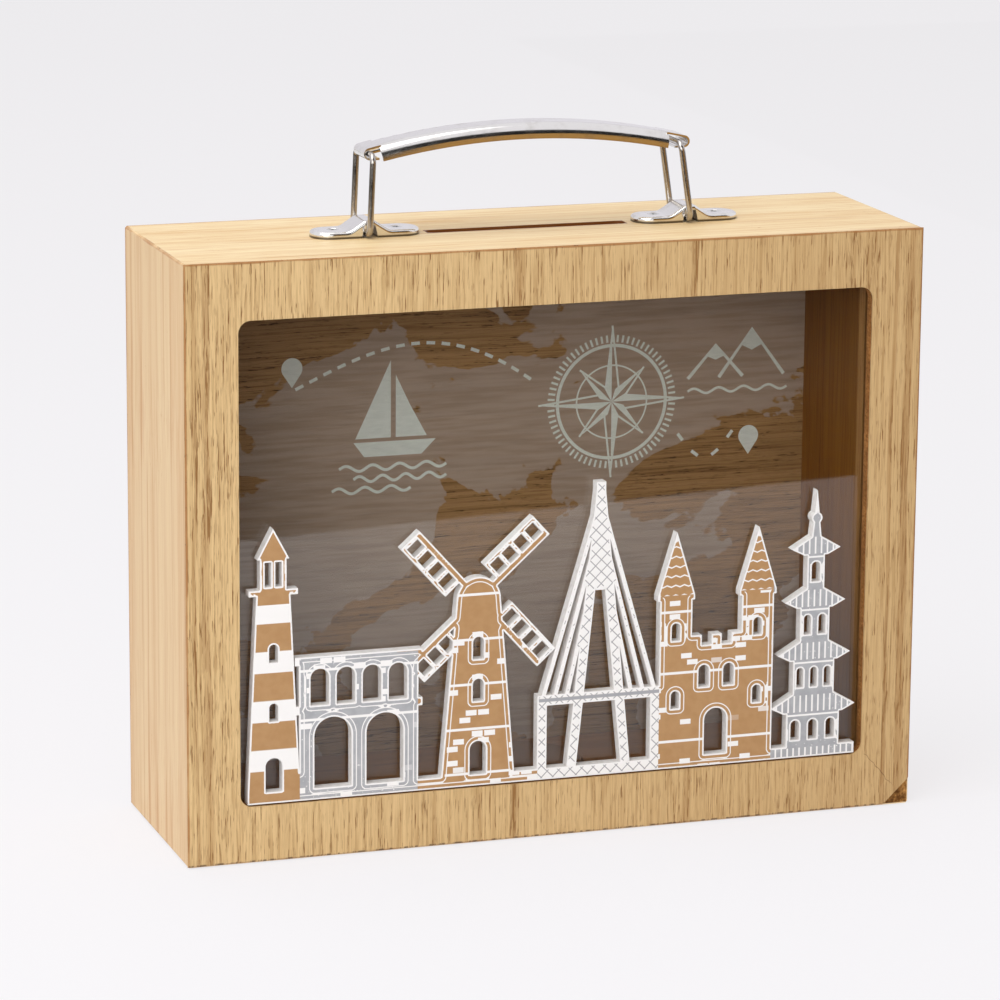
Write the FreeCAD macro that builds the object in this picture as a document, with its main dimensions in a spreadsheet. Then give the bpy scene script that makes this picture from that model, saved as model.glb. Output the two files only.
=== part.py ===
import FreeCAD, Part
import math
import os
import re
import Sketcher

# Wooden money box: a mitred box with a framed window, a skyline plate glued on the pane,
# a coin slot in its top and a carrying handle on two wire loops.
# Millimetres, +Z up, front at -Y, origin at the middle of the underside.

SIZES = {
    # box
    "box_width": 200.0,
    "box_height": 157.0,
    "box_depth": 60.0,
    "board_thickness": 10.0,
    "edge_arris": 0.5,
    # front panel: a core let into the boards and a veneer over the whole front
    "veneer_thickness": 0.6,
    "veneer_arris": 0.3,
    "core_thickness": 3.0,
    "front_lip": 3.0,
    "veneer_trim": 0.2,
    "frame_side_reveal": 4.0,
    "frame_rail_reveal": 5.0,
    "window_corner": 3.3,
    "chip_width": 7.4,
    "chip_height": 7.3,
    # back panel
    "back_thickness": 3.0,
    "back_ledge": 5.0,
    "panel_gap": 0.1,
    "back_screw_spread": 70.0,
    "back_screw_head": 3.6,
    "back_screw_shank": 1.8,
    "back_screw_length": 10.0,
    # pane and the beads that hold it
    "pane_thickness": 2.0,
    "pane_gap": 0.2,
    "bead_width": 4.0,
    "bead_depth": 4.0,
    # coin slot
    "slot_length": 55.0,
    "slot_width": 4.6,
    # stopper in the base
    "stopper_margin": 5.7,
    "stopper_overlap": 4.0,
    "stopper_flange_thickness": 1.6,
    "stopper_ground_gap": 0.5,
    "stopper_reach": 2.0,
    "stopper_bevel": 1.0,
    "stopper_fit": 0.1,
    "stopper_seat_gap": 0.3,
    "stopper_rim_gap": 0.5,
    "pry_notch": 5.0,
    # handle feet
    "foot_slot_gap": 2.0,
    "foot_length": 29.0,
    "foot_width": 10.5,
    "foot_height": 1.8,
    "foot_edge_round": 0.9,
    "foot_end_flat": 0.5,
    "hump_base": 11.0,
    "hump_crest": 2.6,
    "hump_crest_flat": 0.1,
    "hump_wall": 1.2,
    "hump_blend": 3.0,
    "tunnel_flare": 0.8,
    "tunnel_side_gap": 0.6,
    "tunnel_roof_gap": 1.35,
    "foot_screw_land": 3.0,
    "foot_screw_head": 3.2,
    "foot_screw_shank": 1.6,
    "foot_screw_length": 8.0,
    "screw_gap": 0.1,
    "screw_sink": 0.05,
    "screw_recess_width": 0.5,
    "screw_recess_depth": 0.5,
    # handle loops
    "wire_diameter": 1.6,
    "wire_floor_gap": 0.35,
    "loop_side_gap": 1.45,
    "loop_length": 20.5,
    "loop_bend": 2.0,
    "left_loop_shift": 0.7,
    "right_loop_shift": 0.8,
    "left_loop_lean": 2.3,
    "right_loop_lean": -8.5,
    # handle grip
    "grip_sheet": 0.5,
    "grip_side_gap": 0.4,
    "grip_depth": 4.0,
    "grip_arch": 190.0,
    "grip_shoulder": 3.6,
    "grip_flange_stop": 2.8,
    "grip_tab_gap": 0.9,
    "grip_tab_lap": 0.5,
    "eye_gap": 0.3,
    "eye_travel": 1.9,
    "eye_return": 2.6,
    # skyline plate
    "plate_thickness": 3.0,
    "plate_gap": 0.4,
    "plate_strip": 3.0,
    "lighthouse_base": 14.0,
    "lighthouse_neck": 9.0,
    "lighthouse_tower": 52.0,
    "lighthouse_gallery": 13.0,
    "lantern_width": 7.0,
    "lantern_height": 8.0,
    "lantern_roof": 8.0,
    "viaduct_width": 32.0,
    "viaduct_lower_tier": 21.0,
    "viaduct_upper_tier": 13.0,
    "viaduct_cornice": 2.2,
    "viaduct_pier": 4.0,
    "windmill_span": 33.0,
    "windmill_base": 20.0,
    "windmill_neck": 12.0,
    "windmill_tower": 47.0,
    "sail_length": 25.0,
    "sail_angle": 42.0,
    "sail_width": 6.4,
    "sail_bar": 1.1,
    "castle_width": 32.0,
    "castle_wall": 30.0,
    "castle_tower": 44.0,
    "castle_tower_width": 9.0,
    "castle_roof": 17.0,
    "castle_merlon": 2.8,
    "pylon_height": 76.0,
    "pylon_base": 15.0,
    "pylon_leg": 2.6,
    "deck_level": 17.0,
    "deck_height": 2.8,
    "deck_length": 34.0,
    "stay_width": 1.1,
    "pagoda_width": 24.0,
    "pagoda_step": 3.4,
    "pagoda_storey": 9.0,
    "pagoda_roof": 5.4,
    "pagoda_eave": 3.6,
    "pagoda_finial": 14.0,
    "opening_width": 3.0,
    "opening_height": 6.0,
}

# Places that follow from the sizes above.
FORMULAS = {
    "half_width": "box_width / 2",
    "half_depth": "box_depth / 2",
    "inner_half_width": "box_width / 2 - board_thickness",
    "inner_top": "box_height - board_thickness",
    "carcase_front": "veneer_thickness - box_depth / 2",
    "pane_front": "carcase_front + core_thickness",
    "pane_back": "pane_front + pane_thickness",
    "bead_back": "pane_back + bead_depth",
    "back_inside": "box_depth / 2 - back_thickness",
    "window_half_width": "inner_half_width - frame_side_reveal",
    "window_bottom": "board_thickness + frame_rail_reveal",
    "window_top": "inner_top - frame_rail_reveal",
    "back_lip": "board_thickness - back_ledge",
    "ledge_middle": "board_thickness - back_ledge / 2",
    "stopper_place": "(bead_back + back_inside) / 2",
    "stopper_hole": "back_inside - bead_back - 2 * stopper_margin",
    "stopper_flange": "stopper_hole + 2 * stopper_overlap",
    "stopper_recess": "stopper_flange_thickness + stopper_seat_gap + stopper_ground_gap",
    "foot_spread": "slot_length / 2 + foot_slot_gap + foot_length / 2",
    "foot_end_round": "(foot_width - foot_end_flat) / 2",
    "foot_screw_spread": "hump_base / 2 + foot_screw_land",
    "wire_rise": "wire_diameter / 2 + wire_floor_gap",
    "tunnel_crest": "wire_diameter + 2 * tunnel_side_gap",
    "tunnel_mouth": "tunnel_crest + 2 * tunnel_flare",
    "tunnel_height": "wire_rise + wire_diameter / 2 + tunnel_roof_gap",
    "hump_height": "tunnel_height + hump_wall",
    "loop_width": "foot_width + wire_diameter + 2 * loop_side_gap",
    "grip_width": "loop_width - wire_diameter - 2 * grip_side_gap",
    "grip_tab_width": "loop_width - 2 * (loop_bend + grip_tab_gap)",
    "eye_radius": "wire_diameter / 2 + eye_gap",
}

# Clearance between the end of a screw and the bottom of its pilot hole.
PILOT_ROOM = 0.5
COUNTERSINK_ANGLE = 90.0
# Half the length of a cross recess, as a share of the screw's head.
RECESS_REACH = 0.3
# How far the screws of one foot are turned, in degrees.
FOOT_SCREW_TURN = 20.0
# A sketch's outline starts as a ring and its circle at a radius, before they are tied to sizes.
START_RING = 50.0
START_RADIUS = 1.0

doc = FreeCAD.newDocument("money_box")
sheet = doc.addObject("Spreadsheet::Sheet", "sizes")


def fill_sheet():
    """One row a size: its name, then its cell with that name as alias."""
    cells = {name: str(value) for name, value in SIZES.items()}
    cells.update({name: "=" + formula for name, formula in FORMULAS.items()})
    for row, (name, content) in enumerate(cells.items(), 1):
        sheet.set(f"A{row}", name)
        sheet.set(f"B{row}", content)
        sheet.setAlias(f"B{row}", name)
    doc.recompute()


def size(name):
    return float(sheet.get(name))


def tied(formula):
    """A formula in plain size names, as an expression on the sheet."""
    def to_cell(match):
        word = match.group()
        return f"sizes.{word}" if word in SIZES or word in FORMULAS else word
    return re.sub(r"[a-z][a-z0-9_]*", to_cell, formula)


def tie(thing, **formulas):
    for name, formula in formulas.items():
        thing.setExpression(name, tied(formula))


def place(thing, x="0", y="0", z="0", turn_about_y=None):
    for axis, formula in zip("xyz", (x, y, z)):
        thing.setExpression(f"Placement.Base.{axis}", tied(formula))
    if turn_about_y:
        thing.Placement.Rotation = FreeCAD.Rotation(FreeCAD.Vector(0, 1, 0), 1)
        thing.setExpression("Placement.Rotation.Angle", tied(turn_about_y) + " * 1 deg")


def new_body(label):
    body = doc.addObject("PartDesign::Body", label)
    body.Label = label
    return body


def sketch_on(body, role, level="0"):
    """A sketch on one of the body's own planes, moved along the plane's normal."""
    sketch = body.newObject("Sketcher::SketchObject", body.Name + "_sketch")
    plane = [item for item in body.Origin.OriginFeatures if item.Role == role][0]
    sketch.AttachmentSupport = [(plane, "")]
    sketch.MapMode = "FlatFace"
    sketch.setExpression("AttachmentOffset.Base.z", tied(level))
    return sketch


def front_sketch(body, y):
    """A sketch seen from the front, x to the right and z up, in the plane at y."""
    return sketch_on(body, "XZ_Plane", f"-({y})")


def outline(sketch, corners):
    """A closed outline whose corners are tied to pairs of formulas."""
    first = sketch.GeometryCount
    count = len(corners)
    ring = []
    for index in range(count):
        angle = 2 * math.pi * index / count
        ring.append(FreeCAD.Vector(math.cos(angle), math.sin(angle), 0) * START_RING)
    for index in range(count):
        sketch.addGeometry(Part.LineSegment(ring[index], ring[(index + 1) % count]))
    for index in range(count):
        after = first + (index + 1) % count
        sketch.addConstraint(Sketcher.Constraint("Coincident", first + index, 2, after, 1))
    for index, (across, up) in enumerate(corners):
        for kind, value, formula in (("DistanceX", ring[index].x, across),
                                     ("DistanceY", ring[index].y, up)):
            rule = Sketcher.Constraint(kind, -1, 1, first + index, 1, value)
            number = sketch.addConstraint(rule)
            sketch.setExpression(f"Constraints[{number}]", tied(formula))


def rectangle(sketch, left, right, bottom, top):
    outline(sketch, [(left, bottom), (right, bottom), (right, top), (left, top)])


def circle(sketch, x, y, radius):
    """A circle whose centre and radius are tied to formulas."""
    ring = Part.Circle(FreeCAD.Vector(0, 0, 0), FreeCAD.Vector(0, 0, 1), START_RADIUS)
    number = sketch.addGeometry(ring)
    for kind, formula in (("DistanceX", x), ("DistanceY", y)):
        rule = sketch.addConstraint(Sketcher.Constraint(kind, -1, 1, number, 3, 0.0))
        sketch.setExpression(f"Constraints[{rule}]", tied(formula))
    rule = sketch.addConstraint(Sketcher.Constraint("Radius", number, START_RADIUS))
    sketch.setExpression(f"Constraints[{rule}]", tied(radius))


def long_slot(sketch, half_length, radius):
    """A slot with round ends along the sketch's own x axis, centred on the origin."""
    reach, bend = 20.0, 2.0
    up = FreeCAD.Vector(0, 0, 1)
    quarter = math.pi / 2
    right = Part.Circle(FreeCAD.Vector(reach, 0, 0), up, bend)
    left = Part.Circle(FreeCAD.Vector(-reach, 0, 0), up, bend)
    sketch.addGeometry([
        Part.ArcOfCircle(right, -quarter, quarter),
        Part.LineSegment(FreeCAD.Vector(reach, bend, 0), FreeCAD.Vector(-reach, bend, 0)),
        Part.ArcOfCircle(left, quarter, 3 * quarter),
        Part.LineSegment(FreeCAD.Vector(-reach, -bend, 0), FreeCAD.Vector(reach, -bend, 0)),
    ])
    for number in range(4):
        rule = Sketcher.Constraint("Tangent", number, 2, (number + 1) % 4, 1)
        sketch.addConstraint(rule)
    sketch.addConstraint(Sketcher.Constraint("PointOnObject", 0, 3, -1))
    sketch.addConstraint(Sketcher.Constraint("Symmetric", 0, 3, 2, 3, -1, 1))
    rule = sketch.addConstraint(Sketcher.Constraint("DistanceX", -1, 1, 0, 3, reach))
    sketch.setExpression(f"Constraints[{rule}]", tied(f"{half_length} - {radius}"))
    rule = sketch.addConstraint(Sketcher.Constraint("Radius", 0, bend))
    sketch.setExpression(f"Constraints[{rule}]", tied(radius))


def pad(body, sketch, length, middle=False):
    feature = body.newObject("PartDesign::Pad", body.Name + "_pad")
    feature.Profile = sketch
    feature.SideType = "Symmetric" if middle else "One side"
    tie(feature, Length=length)
    doc.recompute()
    return feature


def pocket(body, sketch, length):
    """Cut from the sketch against its normal, and see that something was cut."""
    before = body.Shape.Volume
    feature = body.newObject("PartDesign::Pocket", body.Name + "_pocket")
    feature.Profile = sketch
    tie(feature, Length=length)
    doc.recompute()
    if body.Shape.Volume > before - 1e-6:
        raise RuntimeError(f"{feature.Label} cuts nothing")
    return feature


def revolve(body, sketch, axis, angle, other_way=None):
    feature = body.newObject("PartDesign::Revolution", body.Name + "_turned")
    feature.Profile = sketch
    feature.ReferenceAxis = (sketch, [axis])
    tie(feature, Angle=angle)
    if other_way:
        feature.Type = "TwoAngles"
        tie(feature, Angle2=other_way)
    doc.recompute()
    return feature


def edges_of(feature, wanted):
    """Names of the edges for which wanted(edge) is true."""
    edges = enumerate(feature.Shape.Edges, 1)
    return [f"Edge{number}" for number, edge in edges if wanted(edge)]


def dress(body, kind, wanted, **formulas):
    """A fillet or chamfer on chosen edges of the body as it stands."""
    base = body.Tip
    feature = body.newObject("PartDesign::" + kind, f"{body.Name}_{kind.lower()}")
    feature.Base = (base, edges_of(base, wanted))
    tie(feature, **formulas)
    doc.recompute()
    return feature


def lies_along(edge, axis):
    """True for a straight edge along the axis."""
    if not isinstance(edge.Curve, Part.Line):
        return False
    return abs(edge.Curve.Direction.dot(axis)) > 0.999


X_AXIS = FreeCAD.Vector(1, 0, 0)
Y_AXIS = FreeCAD.Vector(0, 1, 0)
Z_AXIS = FreeCAD.Vector(0, 0, 1)
NEAR = 1e-4


def plate(label, front, depth, corners):
    """A flat piece seen from the front, from its front plane back by its depth."""
    body = new_body(label)
    sketch = front_sketch(body, f"{front} + {depth}")
    outline(sketch, corners)
    pad(body, sketch, depth)
    return body


def frame_corners(half_width, bottom, top):
    return [(f"-({half_width})", bottom), (half_width, bottom),
            (half_width, top), (f"-({half_width})", top)]


# Carcase boards

def corner(side, level):
    """The points round one mitred corner of the box; side is '-' or '+'."""
    def across(inset):
        return f"{side}(half_width - {inset})"

    def up(inset):
        return f"box_height - {inset}" if level == "top" else inset
    return {
        "flat": (across("edge_arris"), up("0")),
        "arris": (across("edge_arris / 2"), up("edge_arris / 2")),
        "upright": (across("0"), up("edge_arris")),
        "inner": (f"{side}inner_half_width", "inner_top" if level == "top" else "board_thickness"),
    }


def level_board(level):
    left, right = corner("-", level), corner("+", level)
    return [left["flat"], right["flat"], right["arris"],
            right["inner"], left["inner"], left["arris"]]


def upright_board(side):
    base, top = corner(side, "base"), corner(side, "top")
    return [base["upright"], top["upright"], top["arris"],
            top["inner"], base["inner"], base["arris"]]


def back_screw_places():
    """Pairs of formulas, x and z, of the screws round the back panel."""
    rails = [(f"{side}back_screw_spread", level)
             for side in "-+" for level in ("ledge_middle", "box_height - ledge_middle")]
    sides = [(f"{side}(half_width - ledge_middle)", "box_height / 2") for side in "-+"]
    return rails + sides


def carcase_board(label, corners, screw_places):
    """A board with a rebate for the front core, one for the back panel, and pilot holes."""
    body = plate(label, "carcase_front", "box_depth - veneer_thickness", corners)
    sketch = front_sketch(body, "carcase_front")
    outline(sketch, frame_corners("half_width - front_lip", "front_lip", "box_height - front_lip"))
    pocket(body, sketch, "core_thickness")
    sketch = front_sketch(body, "back_inside")
    outline(sketch, frame_corners("half_width - back_lip", "back_lip", "box_height - back_lip"))
    pocket(body, sketch, "back_thickness")
    depth = f"back_screw_length - back_thickness + {PILOT_ROOM}"
    sketch = front_sketch(body, f"back_inside - ({depth})")
    for x, z in screw_places:
        circle(sketch, x, z, "back_screw_shank / 2 + screw_gap")
    pocket(body, sketch, depth)
    return body


def make_carcase():
    places = back_screw_places()
    top = carcase_board("top_board", level_board("top"), [places[1], places[3]])
    base = carcase_board("base_board", level_board("base"), [places[0], places[2]])
    left = carcase_board("left_side_board", upright_board("-"), [places[4]])
    right = carcase_board("right_side_board", upright_board("+"), [places[5]])
    cut_coin_slot(top)
    cut_foot_pilots(top)
    cut_stopper_hole(base)
    return [top, base, left, right]


def cut_coin_slot(top):
    sketch = sketch_on(top, "XY_Plane", "box_height")
    long_slot(sketch, "slot_length / 2", "slot_width / 2")
    pocket(top, sketch, "board_thickness")


def cut_foot_pilots(top):
    sketch = sketch_on(top, "XY_Plane", "box_height")
    for side in "-+":
        for way in "-+":
            x = f"{side}foot_spread {way} foot_screw_spread"
            circle(sketch, x, "0", "foot_screw_shank / 2 + screw_gap")
    pocket(top, sketch, f"foot_screw_length - foot_height + {PILOT_ROOM}")


def cut_stopper_hole(base):
    """The hole, the recess for the flange, and a notch to pry the flange out."""
    sketch = sketch_on(base, "XY_Plane", "board_thickness")
    circle(sketch, "0", "stopper_place", "stopper_hole / 2")
    pocket(base, sketch, "board_thickness")
    sketch = sketch_on(base, "XY_Plane", "stopper_recess")
    circle(sketch, "0", "stopper_place", "stopper_flange / 2 + stopper_rim_gap")
    pocket(base, sketch, "stopper_recess")
    sketch = sketch_on(base, "XY_Plane", "stopper_recess")
    circle(sketch, "stopper_flange / 2 + stopper_rim_gap", "stopper_place", "pry_notch")
    pocket(base, sketch, "stopper_recess")


# Front, pane and back

def round_window(body):
    """Round the four corners of the window through the piece."""
    half, bottom, top = size("window_half_width"), size("window_bottom"), size("window_top")

    def at_corner(edge):
        if not lies_along(edge, Y_AXIS):
            return False
        point = edge.Vertexes[0].Point
        level = min(abs(point.z - bottom), abs(point.z - top))
        return abs(abs(point.x) - half) < NEAR and level < NEAR
    dress(body, "Fillet", at_corner, Radius="window_corner")


def window_plate(label, front, depth, corners):
    body = new_body(label)
    sketch = front_sketch(body, f"{front} + {depth}")
    outline(sketch, corners)
    outline(sketch, frame_corners("window_half_width", "window_bottom", "window_top"))
    pad(body, sketch, depth)
    round_window(body)
    return body


def make_front():
    core = window_plate("front_frame_core", "carcase_front", "core_thickness",
                        frame_corners("half_width - front_lip - panel_gap",
                                      "front_lip + panel_gap", "box_height - front_lip - panel_gap"))
    veneer = window_plate("front_veneer", "-half_depth", "veneer_thickness", [
        ("-half_width", "veneer_trim"), ("half_width - chip_width", "veneer_trim"),
        ("half_width", "chip_height"), ("half_width", "box_height"), ("-half_width", "box_height")])
    front, half = -size("half_depth"), size("half_width")
    top, bottom = size("box_height"), size("veneer_trim")

    def front_outer(edge):
        points = [vertex.Point for vertex in edge.Vertexes]
        if any(abs(point.y - front) > NEAR for point in points):
            return False
        on_side = all(abs(point.x + half) < NEAR for point in points)
        on_side = on_side or all(abs(point.x - half) < NEAR for point in points)
        on_level = all(abs(point.z - bottom) < NEAR for point in points)
        return on_side or on_level or all(abs(point.z - top) < NEAR for point in points)
    dress(veneer, "Chamfer", front_outer, Size="veneer_arris")
    return [core, veneer]


def make_pane():
    pane = plate("window_pane", "pane_front", "pane_thickness",
                 frame_corners("inner_half_width - pane_gap",
                               "board_thickness + pane_gap", "inner_top - pane_gap"))
    pieces = [pane]
    rails = {"pane_bead_top": ("inner_top - bead_width", "inner_top"),
             "pane_bead_bottom": ("board_thickness", "board_thickness + bead_width")}
    for label, (bottom, top) in rails.items():
        corners = frame_corners("inner_half_width", bottom, top)
        pieces.append(plate(label, "pane_back", "bead_depth", corners))
    for label, side in (("pane_bead_left", "-"), ("pane_bead_right", "+")):
        wall, inner = f"{side}inner_half_width", f"{side}(inner_half_width - bead_width)"
        bottom, top = "board_thickness + bead_width", "inner_top - bead_width"
        corners = [(wall, bottom), (inner, bottom), (inner, top), (wall, top)]
        pieces.append(plate(label, "pane_back", "bead_depth", corners))
    return pieces


def countersunk_holes(body, sketch, shank, head):
    """Through holes with a countersink at the circles of the sketch."""
    doc.recompute()
    before = body.Shape.Volume
    feature = body.newObject("PartDesign::Hole", body.Name + "_holes")
    feature.Profile = sketch
    doc.recompute()
    feature.DepthType = "ThroughAll"
    feature.ThreadType = "None"
    feature.HoleCutType = "Countersink"
    feature.HoleCutCustomValues = True
    feature.HoleCutCountersinkAngle = COUNTERSINK_ANGLE
    tie(feature, Diameter=f"{shank} + 2 * screw_gap", HoleCutDiameter=f"{head} + 2 * screw_gap")
    doc.recompute()
    if body.Shape.Volume > before - 1e-6:
        feature.Reversed = True
        doc.recompute()
    if body.Shape.Volume > before - 1e-6:
        raise RuntimeError(f"{feature.Label} cuts nothing")


def make_back():
    panel = plate("back_panel", "back_inside", "back_thickness",
                  frame_corners("half_width - back_lip - panel_gap",
                                "back_lip + panel_gap", "box_height - back_lip - panel_gap"))
    sketch = front_sketch(panel, "half_depth")
    for x, z in back_screw_places():
        circle(sketch, x, z, "back_screw_shank / 2")
    countersunk_holes(panel, sketch, "back_screw_shank", "back_screw_head")
    return [panel]


# Screws

def screw_form(label, head, shank, length):
    """One countersunk screw pointing down, its head's top at the origin, with a cross recess."""
    body = new_body(label)
    sketch = sketch_on(body, "XZ_Plane")
    cone = f"({head} - {shank}) / 2"
    outline(sketch, [("0", "0"), (f"{head} / 2", "0"), (f"{shank} / 2", f"-({cone})"),
                     (f"{shank} / 2", f"-({length}) + {shank} / 2"), ("0", f"-({length})")])
    revolve(body, sketch, "V_Axis", "360")
    for across, along in (("screw_recess_width / 2", f"{RECESS_REACH} * {head}"),
                          (f"{RECESS_REACH} * {head}", "screw_recess_width / 2")):
        sketch = sketch_on(body, "XY_Plane")
        rectangle(sketch, f"-({across})", across, f"-({along})", along)
        pocket(body, sketch, "screw_recess_depth")
    return body


def screw_group(label, form, places):
    """Copies of one screw, all in one node."""
    group = doc.addObject("Part::Feature", label)
    group.Label = label
    copies = []
    for point, turn in places:
        copy = form.Shape.copy()
        copy.Placement = FreeCAD.Placement(point, turn)
        copies.append(copy)
    group.Shape = Part.makeCompound(copies)
    return group


def make_back_screws():
    form = screw_form("back_screw_form", "back_screw_head", "back_screw_shank",
                      "back_screw_length")
    y = size("half_depth") - size("screw_sink")
    turn = FreeCAD.Rotation(X_AXIS, -90)
    spread, ledge = size("back_screw_spread"), size("ledge_middle")
    side, height = size("half_width") - ledge, size("box_height")
    points = [(x, z) for x in (-spread, spread) for z in (ledge, height - ledge)]
    points += [(-side, height / 2), (side, height / 2)]
    places = [(FreeCAD.Vector(x, y, z), turn) for x, z in points]
    return [screw_group("back_panel_screws", form, places)]


def make_foot_screws():
    form = screw_form("foot_screw_form", "foot_screw_head", "foot_screw_shank",
                      "foot_screw_length")
    z = size("box_height") + size("foot_height") - size("screw_sink")
    places = []
    for side in (-1, 1):
        for way in (-1, 1):
            x = side * size("foot_spread") + way * size("foot_screw_spread")
            places.append((FreeCAD.Vector(x, 0, z), FreeCAD.Rotation(Z_AXIS, FOOT_SCREW_TURN * way)))
    return [screw_group("handle_foot_screws", form, places)]


# Stopper

def make_stopper():
    """A bung with a flange that sits in the recess of the base, clear of the ground."""
    body = new_body("emptying_stopper")
    place(body, y="stopper_place", z="stopper_recess - stopper_seat_gap")
    shank = "stopper_hole / 2 - stopper_fit"
    top = "board_thickness - stopper_recess + stopper_seat_gap + stopper_reach"
    sketch = sketch_on(body, "XZ_Plane")
    outline(sketch, [
        ("0", "-stopper_flange_thickness"),
        ("stopper_flange / 2", "-stopper_flange_thickness"), ("stopper_flange / 2", "0"),
        (shank, "0"), (shank, f"{top} - stopper_bevel"),
        (f"{shank} - stopper_bevel", top), ("0", top)])
    revolve(body, sketch, "V_Axis", "360")
    return [body]


# Handle

def make_foot(label, side):
    """A stamped foot: a plate with round ends and a hump that bridges the wire."""
    body = new_body(label)
    place(body, x=f"{side}foot_spread", z="box_height")
    sketch = sketch_on(body, "XZ_Plane")
    right = [("foot_length / 2", "0"), ("foot_length / 2", "foot_height"),
             ("hump_base / 2", "foot_height"), ("hump_crest / 2", "hump_height")]
    tunnel = [("tunnel_crest / 2", "tunnel_height"), ("tunnel_mouth / 2", "0")]
    left = [(f"-{x}", z) for x, z in reversed(right)]
    bore = [(f"-{x}", z) for x, z in reversed(tunnel)]
    outline(sketch, right + left + bore + tunnel)
    pad(body, sketch, "foot_width", middle=True)
    end, width = size("foot_length") / 2, size("foot_width") / 2

    def end_corner(edge):
        return lies_along(edge, Z_AXIS) and abs(abs(edge.Vertexes[0].X) - end) < NEAR
    dress(body, "Fillet", end_corner, Radius="foot_end_round")

    def hump_line(edge):
        point = edge.Vertexes[0].Point
        across = abs(abs(point.x) - size("hump_base") / 2) < NEAR
        return lies_along(edge, Y_AXIS) and across and abs(point.z - size("foot_height")) < NEAR
    dress(body, "Fillet", hump_line, Radius="hump_blend")

    def crest_line(edge):
        point = edge.Vertexes[0].Point
        return lies_along(edge, Y_AXIS) and abs(point.z - size("hump_height")) < NEAR
    dress(body, "Fillet", crest_line, Radius="(hump_crest - hump_crest_flat) / 2")

    def upper_rim(edge):
        points = [vertex.Point for vertex in edge.Vertexes]
        middle = edge.valueAt((edge.FirstParameter + edge.LastParameter) / 2)
        above = all(point.z > size("foot_height") - NEAR for point in points + [middle])
        bored = abs(middle.x) < size("tunnel_mouth") / 2 and middle.z < size("tunnel_height") + NEAR
        at_side = abs(abs(middle.y) - width) < NEAR
        at_end = abs(middle.x) > end - size("foot_end_round") - NEAR
        return above and not bored and (at_side or at_end)
    dress(body, "Fillet", upper_rim, Radius="foot_edge_round")
    sketch = sketch_on(body, "XY_Plane", "foot_height")
    for way in "-+":
        circle(sketch, f"{way}foot_screw_spread", "0", "foot_screw_shank / 2")
    countersunk_holes(body, sketch, "foot_screw_shank", "foot_screw_head")
    return body


def make_loop(label, side, shift, lean):
    """A closed wire loop; its lower run lies on the body's own y axis."""
    body = new_body(label)
    place(body, x=f"{side}foot_spread - {shift}", z="box_height + wire_rise", turn_about_y=lean)
    half, long, bend = size("loop_width") / 2, size("loop_length"), size("loop_bend")
    spine = sketch_on(body, "YZ_Plane")
    route = [(0, 0), (half - bend, 0), (half, bend), (half, long - bend), (half - bend, long),
             (bend - half, long), (-half, long - bend), (-half, bend), (bend - half, 0), (0, 0)]
    centres = {1: (half - bend, bend), 3: (half - bend, long - bend),
               5: (bend - half, long - bend), 7: (bend - half, bend)}
    turned = math.sqrt(0.5) * bend
    for number in range(len(route) - 1):
        start, stop = (FreeCAD.Vector(*point, 0) for point in route[number:number + 2])
        if number in centres:
            middle = FreeCAD.Vector(*centres[number], 0)
            outward = FreeCAD.Vector(math.copysign(turned, middle.x),
                                     math.copysign(turned, middle.y - long / 2), 0)
            spine.addGeometry(Part.Arc(start, middle + outward, stop))
        else:
            spine.addGeometry(Part.LineSegment(start, stop))
    section = sketch_on(body, "XZ_Plane")
    circle(section, "0", "0", "wire_diameter / 2")
    pipe = body.newObject("PartDesign::AdditivePipe", body.Name + "_wire")
    pipe.Profile = section
    pipe.Spine = (spine, [])
    doc.recompute()
    return body


def loop_top(side, shift, lean):
    """Where the middle of a loop's upper run lies, as x and z."""
    angle = math.radians(size(lean))
    x = side * size("foot_spread") - size(shift) + size("loop_length") * math.sin(angle)
    z = size("box_height") + size("wire_rise") + size("loop_length") * math.cos(angle)
    return x, z


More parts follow.
